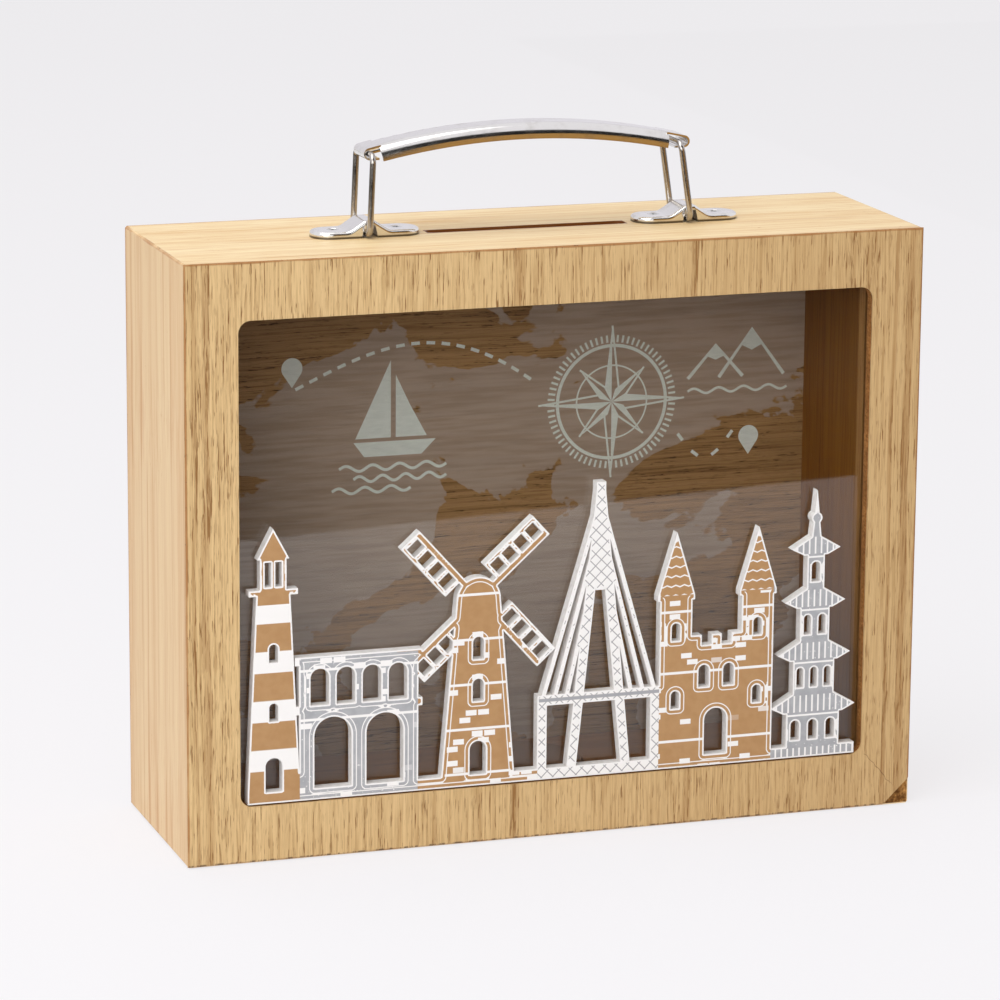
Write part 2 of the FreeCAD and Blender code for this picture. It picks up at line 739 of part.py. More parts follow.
def make_grip():
    """A stamped strap, arched, with flanges turned down and its end tabs curled round the wires."""
    body = new_body("handle_grip")
    arch, sheet_gauge, eye = size("grip_arch"), size("grip_sheet"), size("eye_radius")
    left_x, left_z = loop_top(-1, "left_loop_shift", "left_loop_lean")
    right_x, right_z = loop_top(1, "right_loop_shift", "right_loop_lean")
    half_span = (right_x - left_x + size("eye_travel")) / 2
    eye_ring = arch - sheet_gauge - eye
    half_angle = math.asin(half_span / eye_ring)
    tilt = math.atan2(left_z - right_z, right_x - left_x)
    turn = FreeCAD.Rotation(Y_AXIS, math.degrees(tilt))
    left_eye = FreeCAD.Vector(-half_span, 0, eye_ring * math.cos(half_angle))
    body.Placement = FreeCAD.Placement(FreeCAD.Vector(left_x, 0, left_z) - turn.multVec(left_eye),
                                       turn)
    left_angle = half_angle - size("grip_flange_stop") / arch
    right_angle = left_angle - size("eye_travel") / arch
    section = sketch_on(body, "YZ_Plane")
    half = "grip_width / 2"
    inner = f"{half} - grip_sheet"
    foot, roof = "grip_arch - grip_depth", "grip_arch - grip_sheet"
    outline(section, [(f"-({half})", foot), (f"-({half})", "grip_arch"), (half, "grip_arch"),
                      (half, foot), (inner, foot), (inner, roof),
                      (f"-({inner})", roof), (f"-({inner})", foot)])
    revolve(body, section, "H_Axis", f"{math.degrees(right_angle)}", f"{math.degrees(left_angle)}")

    def shoulder(edge):
        if not isinstance(edge.Curve, Part.Circle):
            return False
        return abs(edge.Curve.Radius - arch) < NEAR

    def inner_shoulder(edge):
        if not isinstance(edge.Curve, Part.Circle):
            return False
        return abs(edge.Curve.Radius - arch + sheet_gauge) < NEAR
    dress(body, "Fillet", shoulder, Radius="grip_shoulder")
    dress(body, "Fillet", inner_shoulder, Radius="grip_shoulder - grip_sheet")
    side_view = sketch_on(body, "XZ_Plane")
    lap = size("grip_tab_lap") / arch
    for side, flange_angle in ((-1, left_angle), (1, right_angle)):
        tab_outline(side_view, side, half_angle, flange_angle - lap)
    pad(body, side_view, "grip_tab_width", middle=True)
    return body


def tab_outline(sketch, side, half_angle, start_angle):
    """One end tab from the side: along the arch, curled round the eye, then level back."""
    arch, gauge, eye = size("grip_arch"), size("grip_sheet"), size("eye_radius")
    ring = arch - gauge - eye
    centre = (ring * math.sin(half_angle), ring * math.cos(half_angle))

    def on_arch(radius, angle):
        return FreeCAD.Vector(side * radius * math.sin(angle), radius * math.cos(angle), 0)

    def on_curl(radius, angle, back=0.0):
        x = centre[0] + radius * math.sin(angle) - back
        z = centre[1] + radius * math.cos(angle)
        return FreeCAD.Vector(side * x, z, 0)
    middle = (start_angle + half_angle) / 2
    outer, inner, back = eye + gauge, eye, size("eye_return")
    bottom, outermost = math.pi, (half_angle + math.pi) / 2
    sketch.addGeometry([
        Part.Arc(on_arch(arch, start_angle), on_arch(arch, middle), on_arch(arch, half_angle)),
        Part.Arc(on_curl(outer, half_angle), on_curl(outer, outermost), on_curl(outer, bottom)),
        Part.LineSegment(on_curl(outer, bottom), on_curl(outer, bottom, back)),
        Part.LineSegment(on_curl(outer, bottom, back), on_curl(inner, bottom, back)),
        Part.LineSegment(on_curl(inner, bottom, back), on_curl(inner, bottom)),
        Part.Arc(on_curl(inner, bottom), on_curl(inner, outermost), on_curl(inner, half_angle)),
        Part.Arc(on_arch(arch - gauge, half_angle), on_arch(arch - gauge, middle),
                 on_arch(arch - gauge, start_angle)),
        Part.LineSegment(on_arch(arch - gauge, start_angle), on_arch(arch, start_angle)),
    ])


def make_handle():
    pieces = []
    for name, side in (("left", "-"), ("right", "+")):
        pieces.append(make_foot(f"handle_foot_{name}", side))
        pieces.append(make_loop(f"handle_loop_{name}", side,
                                f"{name}_loop_shift", f"{name}_loop_lean"))
    return pieces + make_foot_screws() + [make_grip()]


# Skyline plate: outlines in the plane of the plate, as points (x, z) from its lower edge

def flat(points):
    ring = [FreeCAD.Vector(x, 0, z) for x, z in points]
    return Part.Face(Part.makePolygon(ring + ring[:1]))


def block(x, z, width, height):
    half = width / 2
    return flat([(x - half, z), (x + half, z), (x + half, z + height), (x - half, z + height)])


def taper(x, z, width, top_width, height):
    low, high = width / 2, top_width / 2
    return flat([(x - low, z), (x + low, z), (x + high, z + height), (x - high, z + height)])


def spire(x, z, width, height):
    return flat([(x - width / 2, z), (x + width / 2, z), (x, z + height)])


def disc(x, z, radius):
    ring = Part.makeCircle(radius, FreeCAD.Vector(x, 0, z), Y_AXIS)
    return Part.Face(Part.Wire(ring))


def bar(start, stop, width):
    """A straight bar between two points."""
    (x0, z0), (x1, z1) = start, stop
    length = math.hypot(x1 - x0, z1 - z0)
    nx, nz = (z1 - z0) / length * width / 2, -(x1 - x0) / length * width / 2
    return flat([(x0 + nx, z0 + nz), (x1 + nx, z1 + nz), (x1 - nx, z1 - nz), (x0 - nx, z0 - nz)])


def arch_opening(x, z, width, height):
    """A round-headed opening standing on z."""
    half = width / 2
    spring = z + height - half
    left, right = FreeCAD.Vector(x - half, 0, spring), FreeCAD.Vector(x + half, 0, spring)
    foot_left, foot_right = FreeCAD.Vector(x - half, 0, z), FreeCAD.Vector(x + half, 0, z)
    crown = Part.Arc(right, FreeCAD.Vector(x, 0, z + height), left).toShape()
    sides = [Part.makeLine(left, foot_left), Part.makeLine(foot_left, foot_right),
             Part.makeLine(foot_right, right)]
    return Part.Face(Part.Wire([crown] + sides))


# How large an opening is, as a multiple of one plain window.
SLIT, WINDOW, DOOR, GATE = 0.8, 1.0, 1.5, 2.1


def window(x, z, scale):
    return arch_opening(x, z, scale * size("opening_width"), scale * size("opening_height"))


def windows_up(x, z, tower, shares, scale):
    """Windows above each other, at shares of the tower's height."""
    return [window(x, z + tower * share, scale) for share in shares]


def lighthouse(x, z):
    tower, gallery = size("lighthouse_tower"), size("lighthouse_gallery")
    neck, step = size("lighthouse_neck"), size("plate_strip") / 2
    lantern, glass = size("lantern_width"), size("lantern_height")
    top = z + tower
    solids = [taper(x, z, size("lighthouse_base"), neck, tower), block(x, top, gallery, step),
              block(x, top + step, lantern, glass),
              spire(x, top + step + glass, lantern + step, size("lantern_roof"))]
    holes = [block(x + side * lantern / 5, top + 1.5 * step, lantern / 4, glass - step)
             for side in (-1, 1)]
    holes += windows_up(x, z, tower, (0.36, 0.66), SLIT)
    return solids, holes + [window(x, z, DOOR)]


def viaduct(x, z):
    width, pier = size("viaduct_width"), size("viaduct_pier")
    low, high, cornice = (size("viaduct_" + name) for name in
                          ("lower_tier", "upper_tier", "cornice"))
    solids = [block(x, z, width, low), block(x, z + low, width, high)]
    solids += [block(x, z + level - cornice / 2, width + cornice, cornice)
               for level in (low, low + high)]
    holes = []
    for count, level, room in ((2, z, low), (4, z + low + cornice / 2, high - cornice / 2)):
        bay = (width - pier) / count
        gap = bay - pier * 2 / count
        holes += [arch_opening(x + bay * (number - (count - 1) / 2), level, gap, room - cornice)
                  for number in range(count)]
    return solids, holes


def windmill(x, z):
    tower, neck = size("windmill_tower"), size("windmill_neck")
    reach, wide, rail = size("sail_length"), size("sail_width"), size("sail_bar")
    hub, spar, rungs = z + tower, 1.6 * rail, 5
    solids = [taper(x, z, size("windmill_base"), neck, tower), disc(x, hub, neck / 2)]
    for turn in range(4):
        angle = math.radians(size("sail_angle") + 90 * turn)
        along, across = (math.cos(angle), math.sin(angle)), (-math.sin(angle), math.cos(angle))

        def at(length, side):
            return (x + along[0] * length + across[0] * side,
                    hub + along[1] * length + across[1] * side)
        inner = neck / 2 + rail
        solids.append(bar(at(0, 0), at(reach, 0), spar))
        solids.append(bar(at(inner, wide - rail), at(reach, wide - rail), rail))
        for number in range(rungs):
            place_on = inner + rail / 2 + (reach - inner - rail) * number / (rungs - 1)
            solids.append(bar(at(place_on, 0), at(place_on, wide - rail / 2), rail))
    return solids, windows_up(x, z, tower, (0.42, 0.66), WINDOW) + [window(x, z, DOOR)]


def castle(x, z):
    width, wall, tower = (size("castle_" + name) for name in ("width", "wall", "tower"))
    round_tower, roof, merlon = (size("castle_" + name) for name in
                                 ("tower_width", "roof", "merlon"))
    solids, holes = [block(x, z, width - round_tower, wall)], []
    span = width - 2 * round_tower
    count = max(2, int(span / merlon / 2) + 1)
    for number in range(count):
        offset = (number / (count - 1) - 0.5) * (span - merlon)
        solids.append(block(x + offset, z + wall, merlon, merlon))
    for side in (-1, 1):
        middle = x + side * (width - round_tower) / 2
        solids += [block(middle, z, round_tower, tower),
                   block(middle, z + tower - merlon / 2, round_tower + merlon / 2, merlon / 2),
                   spire(middle, z + tower, round_tower + merlon / 2, roof)]
        holes += windows_up(middle, z, tower, (0.3, 0.72), SLIT)
        holes += windows_up(x + side * span / 4, z, wall, (0.62,), WINDOW)
    return solids, holes + [window(x, z, GATE)]


# Each stay of the bridge: where it meets the deck and the mast, as shares of their lengths.
STAYS = ((0.58, 0.78), (0.79, 0.86), (1.0, 0.94))
# Where the two legs of the pylon meet and its mast begins, as a share of its height.
MAST_START = 0.62


def pylon(x, z):
    height, foot, leg = size("pylon_height"), size("pylon_base"), size("pylon_leg")
    level, deck, length = size("deck_level"), size("deck_height"), size("deck_length")
    head = (x, z + height - leg)
    solids = [bar((x + side * foot / 2, z), head, leg) for side in (-1, 1)]
    solids += [block(x, z + height * MAST_START, leg, height * (1 - MAST_START)),
               block(x, z + level, length, deck)]
    solids += [block(x + side * (length - leg) / 2, z, leg, level) for side in (-1, 1)]
    for side in (-1, 1):
        for share, anchor in STAYS:
            end = (x + side * (length - leg) / 2 * share, z + level + deck / 2)
            solids.append(bar((x, z + height * anchor), end, size("stay_width")))
    return solids, []


def pagoda(x, z):
    wide, step = size("pagoda_width"), size("pagoda_step")
    storey, roof, eave = size("pagoda_storey"), size("pagoda_roof"), size("pagoda_eave")
    solids, holes = [], []
    storeys = 4
    for number in range(storeys):
        roof_width = wide - number * step
        room = roof_width - 2 * eave - step / 2
        base = z + number * (storey + roof)
        tip = roof / 3
        solids.append(block(x, base, room, storey + tip))
        half, ridge = roof_width / 2, room / 2 - step / 2
        solids.append(flat([(x - half, base + storey + tip), (x - half + eave, base + storey),
                            (x + half - eave, base + storey), (x + half, base + storey + tip),
                            (x + ridge, base + storey + roof), (x - ridge, base + storey + roof)]))
        openings = (3, 3, 2, 1)[number]
        bay, sill = room / openings, storey / 5
        for opening in range(openings):
            offset = (opening - (openings - 1) / 2) * bay
            holes.append(arch_opening(x + offset, base + sill, bay / 2, 3 * sill))
    top = z + storeys * (storey + roof)
    finial = size("pagoda_finial")
    solids += [spire(x, top - roof / 3, size("opening_width"), finial),
               disc(x, top + finial / 3, size("opening_width") / 2)]
    return solids, holes


def motif_places(strip_length):
    """Motifs from left to right, shared out over the strip by their widths."""
    row = [(lighthouse, "lighthouse_base"), (viaduct, "viaduct_width"),
           (windmill, "windmill_span"), (pylon, "deck_length"),
           (castle, "castle_width"), (pagoda, "pagoda_width")]
    widths = [size(width) for motif, width in row]
    spare = (strip_length - sum(widths)) / (len(row) - 1)
    x = -strip_length / 2
    for (motif, name), width in zip(row, widths):
        yield motif, x + width / 2
        x += width + spare


def make_skyline():
    """One plate on the pane: a strip along its foot joins all the motifs."""
    gap, strip = size("plate_gap"), size("plate_strip")
    length = 2 * (size("window_half_width") - size("window_corner") / 2 - gap)
    base = size("window_bottom") + gap
    solids, holes = [block(0, base, length, strip)], []
    for motif, x in motif_places(length):
        more, less = motif(x, base + strip)
        solids += more
        holes += less
    depth = Y_AXIS * size("plate_thickness")
    body = solids[0].extrude(depth).multiFuse([face.extrude(depth) for face in solids[1:]])
    body = body.cut(Part.makeCompound([face.extrude(depth) for face in holes])).removeSplitter()
    board = doc.addObject("Part::Feature", "skyline_cutout")
    board.Label = "skyline_cutout"
    board.Shape = body
    board.Placement.Base.y = size("pane_front") - size("plate_thickness")
    return [board]


def check(pieces):
    for item in doc.Objects:
        if "Invalid" in item.State or "Error" in item.State:
            raise RuntimeError(f"{item.Label} failed: {item.State}")
    for piece in pieces:
        shape = piece.Shape
        if shape.isNull() or not shape.isValid():
            raise RuntimeError(f"{piece.Label} has no valid shape")
        print(f"{piece.Label}: {len(shape.Solids)} solids, {shape.Volume:.1f} mm3")


def write(pieces):
    os.makedirs("parts", exist_ok=True)
    for piece in pieces:
        piece.Shape.exportStep(f"parts/{piece.Label}.step")


fill_sheet()
PIECES = make_carcase() + make_front() + make_pane() + make_back() + make_back_screws()
PIECES += make_stopper() + make_handle() + make_skyline()
doc.recompute()
check(PIECES)
write(PIECES)
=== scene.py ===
# %% [markdown]
# # A wooden money box with a window and a carrying handle
# The solids come from the CAD model, so this lesson only dresses them: wood, print, clear
# sheet and bright metal, a few thin pieces that are too fine for CAD, and the photographer's
# table. Everything is in metres, in the same frame as the CAD model: X runs along the box,
# Y to its back and Z up.

# %% Load the solids
import math

import bmesh
import bpy
from mathutils import Matrix, Vector, noise
from mathutils.kdtree import KDTree


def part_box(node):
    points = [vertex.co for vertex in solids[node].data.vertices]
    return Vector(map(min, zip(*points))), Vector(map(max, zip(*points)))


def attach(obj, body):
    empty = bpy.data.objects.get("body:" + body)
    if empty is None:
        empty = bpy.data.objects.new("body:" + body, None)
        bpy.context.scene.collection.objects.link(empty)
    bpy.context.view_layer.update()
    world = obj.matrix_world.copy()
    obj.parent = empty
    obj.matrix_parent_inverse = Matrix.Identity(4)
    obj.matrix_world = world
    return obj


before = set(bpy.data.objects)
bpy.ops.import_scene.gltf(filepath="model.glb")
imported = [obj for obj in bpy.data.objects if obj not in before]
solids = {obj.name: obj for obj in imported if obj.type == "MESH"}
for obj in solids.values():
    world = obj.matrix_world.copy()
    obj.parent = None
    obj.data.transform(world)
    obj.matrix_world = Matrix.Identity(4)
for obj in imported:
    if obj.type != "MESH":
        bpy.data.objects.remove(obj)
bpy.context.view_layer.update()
MM = 0.001

# %% [markdown]
# ## Short words for shader nodes
# A material is a graph of nodes. Writing each node and link out in full hides what the graph
# does, so a few helpers place a node, set or link its sockets, and hand back its output.
# Colours are written as they look on screen, from 0 to 255, and turned into the linear
# values that shaders work with.

# %% Helpers for node graphs
def rgb(red, green, blue):
    """A colour as seen on screen, turned into the linear values that a shader wants."""
    def linear(value):
        value /= 255.0
        return value / 12.92 if value <= 0.04045 else ((value + 0.055) / 1.055) ** 2.4
    return (linear(red), linear(green), linear(blue), 1.0)


def put(tree, kind, sockets=None, **settings):
    """Places a node; each socket gets either a link or a plain value."""
    node = tree.nodes.new(kind)
    for key, value in settings.items():
        setattr(node, key, value)
    for socket, source in (sockets or {}).items():
        if isinstance(source, bpy.types.NodeSocket):
            tree.links.new(source, node.inputs[socket])
        else:
            node.inputs[socket].default_value = source
    return node


def calc(tree, operation, a, b=0.0, clamp=False):
    """One step of arithmetic."""
    return put(tree, "ShaderNodeMath", {0: a, 1: b}, operation=operation, use_clamp=clamp).outputs[0]


def times(tree, a, b):
    """The product; of two masks, where they overlap."""
    return calc(tree, "MULTIPLY", a, b)


def fade(tree, value, low, high, start=0.0, end=1.0):
    """A soft step: start below low, end above high."""
    return put(tree, "ShaderNodeMapRange",
               {"Value": value, "From Min": low, "From Max": high, "To Min": start, "To Max": end},
               interpolation_type="SMOOTHSTEP").outputs["Result"]


def blend(tree, factor, a, b):
    """Colour a where the factor is 0 and colour b where it is 1."""
    return put(tree, "ShaderNodeMix", {0: factor, 6: a, 7: b}, data_type="RGBA").outputs[2]


def cloud(tree, vector, scale, detail=2.0, rough=0.5):
    """Soft noise about 0.5."""
    return put(tree, "ShaderNodeTexNoise",
               {"Vector": vector, "Scale": scale, "Detail": detail, "Roughness": rough}).outputs[0]


def stretch(tree, vector, factors):
    """The vector, scaled along each axis."""
    return put(tree, "ShaderNodeVectorMath", {0: vector, 1: factors}, operation="MULTIPLY").outputs[0]


def millimetres(tree, place):
    """The X, Y and Z of a position, in millimetres."""
    return put(tree, "ShaderNodeSeparateXYZ", {0: stretch(tree, place, (1 / MM,) * 3)}).outputs


def node_group(name, inputs, outputs, family="Shader"):
    """An empty node group with named sockets; gives the tree and its two ends."""
    tree = bpy.data.node_groups.new(name, family + "NodeTree")
    for title, kind, value in inputs:
        socket = tree.interface.new_socket(title, in_out="INPUT", socket_type="NodeSocket" + kind)
        if value is not None:
            socket.default_value = value
    for title, kind in outputs:
        tree.interface.new_socket(title, in_out="OUTPUT", socket_type="NodeSocket" + kind)
    return tree, tree.nodes.new("NodeGroupInput").outputs, tree.nodes.new("NodeGroupOutput").inputs


def material(name, **plain):
    """A new material: its tree, its Principled shader and its object coordinates."""
    made = bpy.data.materials.new(name)
    made.use_nodes = True
    tree = made.node_tree
    shader = tree.nodes["Principled BSDF"]
    for socket, value in plain.items():
        shader.inputs[socket.replace("_", " ")].default_value = value
    place = put(tree, "ShaderNodeTexCoord").outputs["Object"]
    return made, tree, shader, place


def wire(tree, shader, **sources):
    """Links what drives a shader's sockets, such as its colour and roughness."""
    for socket, source in sources.items():
        tree.links.new(source, shader.inputs[socket.replace("_", " ")])


def dress(finish, *nodes):
    """Gives a finish to some of the solids."""
    for node in nodes:
        solids[node].data.materials[0] = finish


def use_group(tree, group, sockets):
    """Places a shader group in a material and gives its outputs."""
    return put(tree, "ShaderNodeGroup", sockets, node_tree=group).outputs


def bump(tree, shader, height, strength, distance=0.2 * MM):
    """Lets a height from 0 to 1 raise the surface."""
    node = put(tree, "ShaderNodeBump", {"Height": height, "Strength": strength, "Distance": distance})
    wire(tree, shader, Normal=node.outputs[0])


print("helpers ready")

# %% [markdown]
# ## Wood grain, shared by every board
# Grain is noise that is squeezed across the fibres and drawn out along them. Several sizes are
# laid over each other: broad tone, soft streaks, yearly lines with hairlines between them, and
# short dark pores. One shader group does this for all the boards, and each material gives it
# its own direction and colours.

# %% The grain group
grain_group, given, result = node_group(
    "wood_grain",
    [("Position", "Vector", None), ("Across", "Vector", (1000.0, 1000.0, 26.0)),
     ("Pore Across", "Vector", (2800.0, 2800.0, 350.0)), ("Light", "Color", (0.8, 0.6, 0.4, 1.0)),
     ("Dark", "Color", (0.5, 0.3, 0.15, 1.0)), ("Pore Colour", "Color", (0.15, 0.08, 0.03, 1.0)),
     ("Lines", "Float", 0.5), ("Tone", "Float", 0.5), ("Streaks", "Float", 0.0),
     ("Pores", "Float", 0.5), ("Clusters", "Float", 0.0)],
    [("Color", "Color"), ("Height", "Float")])
g = grain_group
FIBRE_WANDER = (1.5, 1.5, 1.5)
bend = stretch(g, put(g, "ShaderNodeTexNoise", {"Vector": given["Position"], "Scale": 22.0,
                                                "Detail": 1.0}).outputs["Color"], FIBRE_WANDER)
fibres = put(g, "ShaderNodeVectorMath",
             {0: stretch(g, given["Position"], given["Across"]), 1: bend}, operation="ADD").outputs[0]
broad = fade(g, cloud(g, fibres, 0.16, 3.0, 0.6), 0.3, 0.72)
yearly = fade(g, cloud(g, fibres, 1.25, 3.0, 0.7), 0.47, 0.61)
hair = fade(g, cloud(g, fibres, 2.9, 2.0), 0.42, 0.62)
soft_streak = fade(g, cloud(g, fibres, 0.34, 2.0), 0.57, 0.74)
dashes = cloud(g, stretch(g, given["Position"], given["Pore Across"]), 1.0, 2.0, 0.6)
gathered = fade(g, cloud(g, fibres, 0.11, 1.0), 0.55, 0.75)
NO_PORES_ABOVE = 0.72
limit = calc(g, "SUBTRACT", NO_PORES_ABOVE, times(g, given["Pores"], 0.12))
for more_pores, share in ((given["Clusters"], 0.19), (gathered, 0.05)):
    limit = calc(g, "SUBTRACT", limit, times(g, more_pores, share))
pore = fade(g, calc(g, "SUBTRACT", dashes, limit), 0.0, 0.05)
pore = times(g, pore, fade(g, yearly, 0.1, 0.6, 0.3, 1.0))
line = times(g, calc(g, "ADD", times(g, yearly, 0.65), times(g, hair, 0.35)), given["Lines"])
shade = calc(g, "ADD", line, times(g, broad, given["Tone"]), clamp=True)
wood = blend(g, shade, given["Light"], given["Dark"])
wood = blend(g, times(g, soft_streak, given["Streaks"]), wood, given["Pore Colour"])
wood = blend(g, times(g, pore, 0.85), wood, given["Pore Colour"])
g.links.new(wood, result["Color"])
g.links.new(calc(g, "SUBTRACT", 1.0, calc(g, "ADD", times(g, line, 0.4), pore)), result["Height"])
print("grain group nodes:", len(g.nodes))

# %% [markdown]
# ## Worn edges, shared by everything on the outside of the box
# The veneer is rubbed through along the arrises, and small nicks show dark. The box has a
# simple shape, so no bake is needed to find its edges: take the distances from a point to the
# three pairs of outer faces. The smallest is how deep the point lies under the skin, and the
# smallest two together are how far it is from an edge.

# %% The edge group
HALF_WIDTH, HALF_DEPTH, BOX_HEIGHT = 100.0, 30.0, 157.0
edge_group, given, result = node_group(
    "box_edges", [("Position", "Vector", None), ("Width", "Float", 0.5)],
    [("Worn", "Float"), ("Nick", "Float"), ("Inside", "Float")])
g = edge_group
axes = millimetres(g, given["Position"])
from_side = calc(g, "SUBTRACT", HALF_WIDTH, calc(g, "ABSOLUTE", axes[0]))
from_face = calc(g, "SUBTRACT", HALF_DEPTH, calc(g, "ABSOLUTE", axes[1]))
from_end = calc(g, "MINIMUM", axes[2], calc(g, "SUBTRACT", BOX_HEIGHT, axes[2]))
deepest = calc(g, "MAXIMUM", calc(g, "MAXIMUM", from_side, from_face), from_end)
nearest = calc(g, "MINIMUM", calc(g, "MINIMUM", from_side, from_face), from_end)
total = calc(g, "ADD", calc(g, "ADD", from_side, from_face), from_end)
edge = calc(g, "SUBTRACT", total, deepest)
rubbed = times(g, fade(g, cloud(g, given["Position"], 110.0, 3.0), 0.3, 0.7, 0.75, 1.35), given["Width"])
worn = fade(g, calc(g, "SUBTRACT", edge, rubbed), -0.15, 0.25, 0.85, 0.0)
spots = cloud(g, given["Position"], 900.0, 2.0, 0.7)
places = fade(g, cloud(g, given["Position"], 60.0, 1.0), 0.44, 0.54)
nick = times(g, fade(g, spots, 0.62, 0.7), fade(g, edge, 0.35, 0.8, 0.8, 0.0))
nick = times(g, nick, places)
for title, value in (("Worn", worn), ("Nick", nick), ("Inside", fade(g, nearest, 0.7, 1.0))):
    g.links.new(value, result[title])
print("edge group nodes:", len(g.nodes))

# %% [markdown]
# ## The four boards
# The boards are covered in a pale veneer. On the top the grain runs along the box, on the
# sides it stands upright, and the inside is browner because it was never sanded. The lying
# boards are painted paler than the upright ones over the same veneer: painted light on the
# top and painted shade on the sides. The coin slot shows the brown core. Each material is the
# grain group, then the worn edge, then the nicks, laid over each other.

# %% Board materials
WORN_EDGE = rgb(170, 114, 62)
NICK = rgb(92, 58, 30)
SLOT_BROWN = rgb(128, 72, 26)
LYING = {"Across": (22.0, 1000.0, 1000.0), "Pore Across": (330.0, 2800.0, 2800.0)}
UPRIGHT = {"Across": (1000.0, 1000.0, 22.0), "Pore Across": (2800.0, 2800.0, 330.0)}
SLOT_HALF_LENGTH, SLOT_HALF_WIDTH, BOARD_THICKNESS = 27.5, 2.3, 10.0


def board(name, grain, light, dark, inner_light, inner_dark, lines, pores, streaks, wear=0.42):
    """A veneered board: pale grain outside, brown grain inside, rubbed edges."""
    made, tree, shader, place = material(name, Specular_IOR_Level=0.35)
    outer = use_group(tree, grain_group, {
        "Position": place, "Light": light, "Dark": dark, "Streaks": streaks, **grain,
        "Pore Colour": rgb(190, 128, 66), "Lines": lines, "Tone": 0.4, "Pores": pores})
    inner = use_group(tree, grain_group, {
        "Position": place, "Light": inner_light, "Dark": inner_dark, **grain,
        "Pore Colour": rgb(84, 50, 16), "Lines": 0.6, "Tone": 0.4, "Pores": 0.6})
    edges = use_group(tree, edge_group, {"Position": place, "Width": wear})
    colour = blend(tree, edges["Worn"], outer["Color"], WORN_EDGE)
    colour = blend(tree, edges["Nick"], colour, NICK)
    colour = blend(tree, edges["Inside"], colour, inner["Color"])
    axes = millimetres(tree, place)
    underside = BOX_HEIGHT - BOARD_THICKNESS
    slot = fade(tree, axes[2], underside - 0.2, underside)
    for axis, reach, soft in ((axes[1], SLOT_HALF_WIDTH, 0.06), (axes[0], SLOT_HALF_LENGTH, 0.1)):
        within = fade(tree, calc(tree, "ABSOLUTE", axis), reach, reach + soft, 1.0, 0.0)
        slot = times(tree, slot, within)
    colour = blend(tree, slot, colour, SLOT_BROWN)
    wire(tree, shader, Base_Color=colour, Roughness=fade(tree, outer["Height"], 0.0, 1.0, 0.62, 0.46))
    bump(tree, shader, calc(tree, "SUBTRACT", outer["Height"], edges["Nick"]), 0.25)
    return made


BROWN, DEEP_BROWN = rgb(158, 102, 30), rgb(118, 68, 12)
# Painted light: the lying boards get paler colours, standing in for the light from above, and the
# upright boards get darker ones, a painted shade on the sides.
lying_board_painted_lit = board("board_grain_along_painted_lit", LYING, rgb(249, 228, 184),
                    rgb(222, 178, 114), BROWN, DEEP_BROWN, 0.62, 0.22, 0.42)
upright_board_painted_shade = board("board_grain_upright_painted_shade", UPRIGHT, rgb(231, 203, 158),
                      rgb(205, 157, 104), BROWN, DEEP_BROWN, 0.4, 0.24, 0.66)
dress(lying_board_painted_lit, "top_board", "base_board")
dress(upright_board_painted_shade, "left_side_board", "right_side_board")
print("boards:", lying_board_painted_lit.name, upright_board_painted_shade.name)

# %% [markdown]
# ## The front veneer
# The front has the strongest grain: fine upright lines and short dark pores. The pores gather
# in heavy bands, mostly on the two stiles, the sheet is painted browner to the right as a
# painted shade for light that falls off on that side, and a hairline crack runs from the
# window's lower right corner towards the broken corner. Bands, painted shade and crack are
# masks worked out from the position, so no picture is needed.

# %% The front veneer's material
BAND_PLACES = ((-94.4, 1.4), (96.7, 1.5), (-97.6, 0.7), (36.0, 1.4), (-12.0, 1.6), (92.4, 0.8))
BAND_DRIFT, SHADE_FROM_X, SHADE_AT_RIGHT = 3.5, -80.0, 0.26
BAND_AND_SHADE_BROWN, RUBBED_BROWN = rgb(160, 116, 64), rgb(158, 106, 56)
FRAYED_BROWN, CRACK_BROWN = rgb(74, 46, 22), rgb(110, 74, 40)
VENEER_BACK = rgb(150, 96, 48)
LONG_PORES = {"Across": (1350.0, 1350.0, 30.0), "Pore Across": (2600.0, 2600.0, 150.0)}
CRACK_START, CRACK_END = Vector((86.83, 15.1)), Vector((95.5, 5.1))

veneer, tree, shader, place = material("oak_veneer_upright", Specular_IOR_Level=0.35)
axes = millimetres(tree, place)
slow = cloud(tree, stretch(tree, place, (6.0, 6.0, 26.0)), 1.0, 1.0)
drift = times(tree, calc(tree, "SUBTRACT", slow, 0.5), BAND_DRIFT)
bands = 0.0
for centre, width in BAND_PLACES:
    off = calc(tree, "ABSOLUTE", calc(tree, "SUBTRACT", calc(tree, "ADD", axes[0], drift), centre))
    bands = calc(tree, "ADD", bands, fade(tree, off, width * 0.35, width, 1.0, 0.0), clamp=True)
broken = cloud(tree, stretch(tree, place, (200.0, 200.0, 45.0)), 1.0, 1.0)
heavy = times(tree, bands, fade(tree, broken, 0.38, 0.62))
grain = use_group(tree, grain_group, {
    "Position": place, "Light": rgb(220, 188, 136), "Dark": rgb(158, 118, 66),
    "Pore Colour": rgb(122, 78, 28), "Lines": 0.56, "Tone": 0.14, "Pores": 1.2,
    "Clusters": heavy, **LONG_PORES})
edges = use_group(tree, edge_group, {"Position": place, "Width": 0.4})
run = (CRACK_END - CRACK_START).normalized()
from_x = calc(tree, "SUBTRACT", axes[0], CRACK_START.x)
from_z = calc(tree, "SUBTRACT", axes[2], CRACK_START.y)
aside, along = (calc(tree, "ADD", times(tree, from_x, by_x), times(tree, from_z, by_z))
                for by_x, by_z in ((-run.y, run.x), (run.x, run.y)))
wander = times(tree, calc(tree, "SUBTRACT", cloud(tree, place, 330.0, 2.0), 0.5), 2.2)
crack = fade(tree, calc(tree, "ABSOLUTE", calc(tree, "ADD", aside, wander)), 0.05, 0.14, 1.0, 0.0)
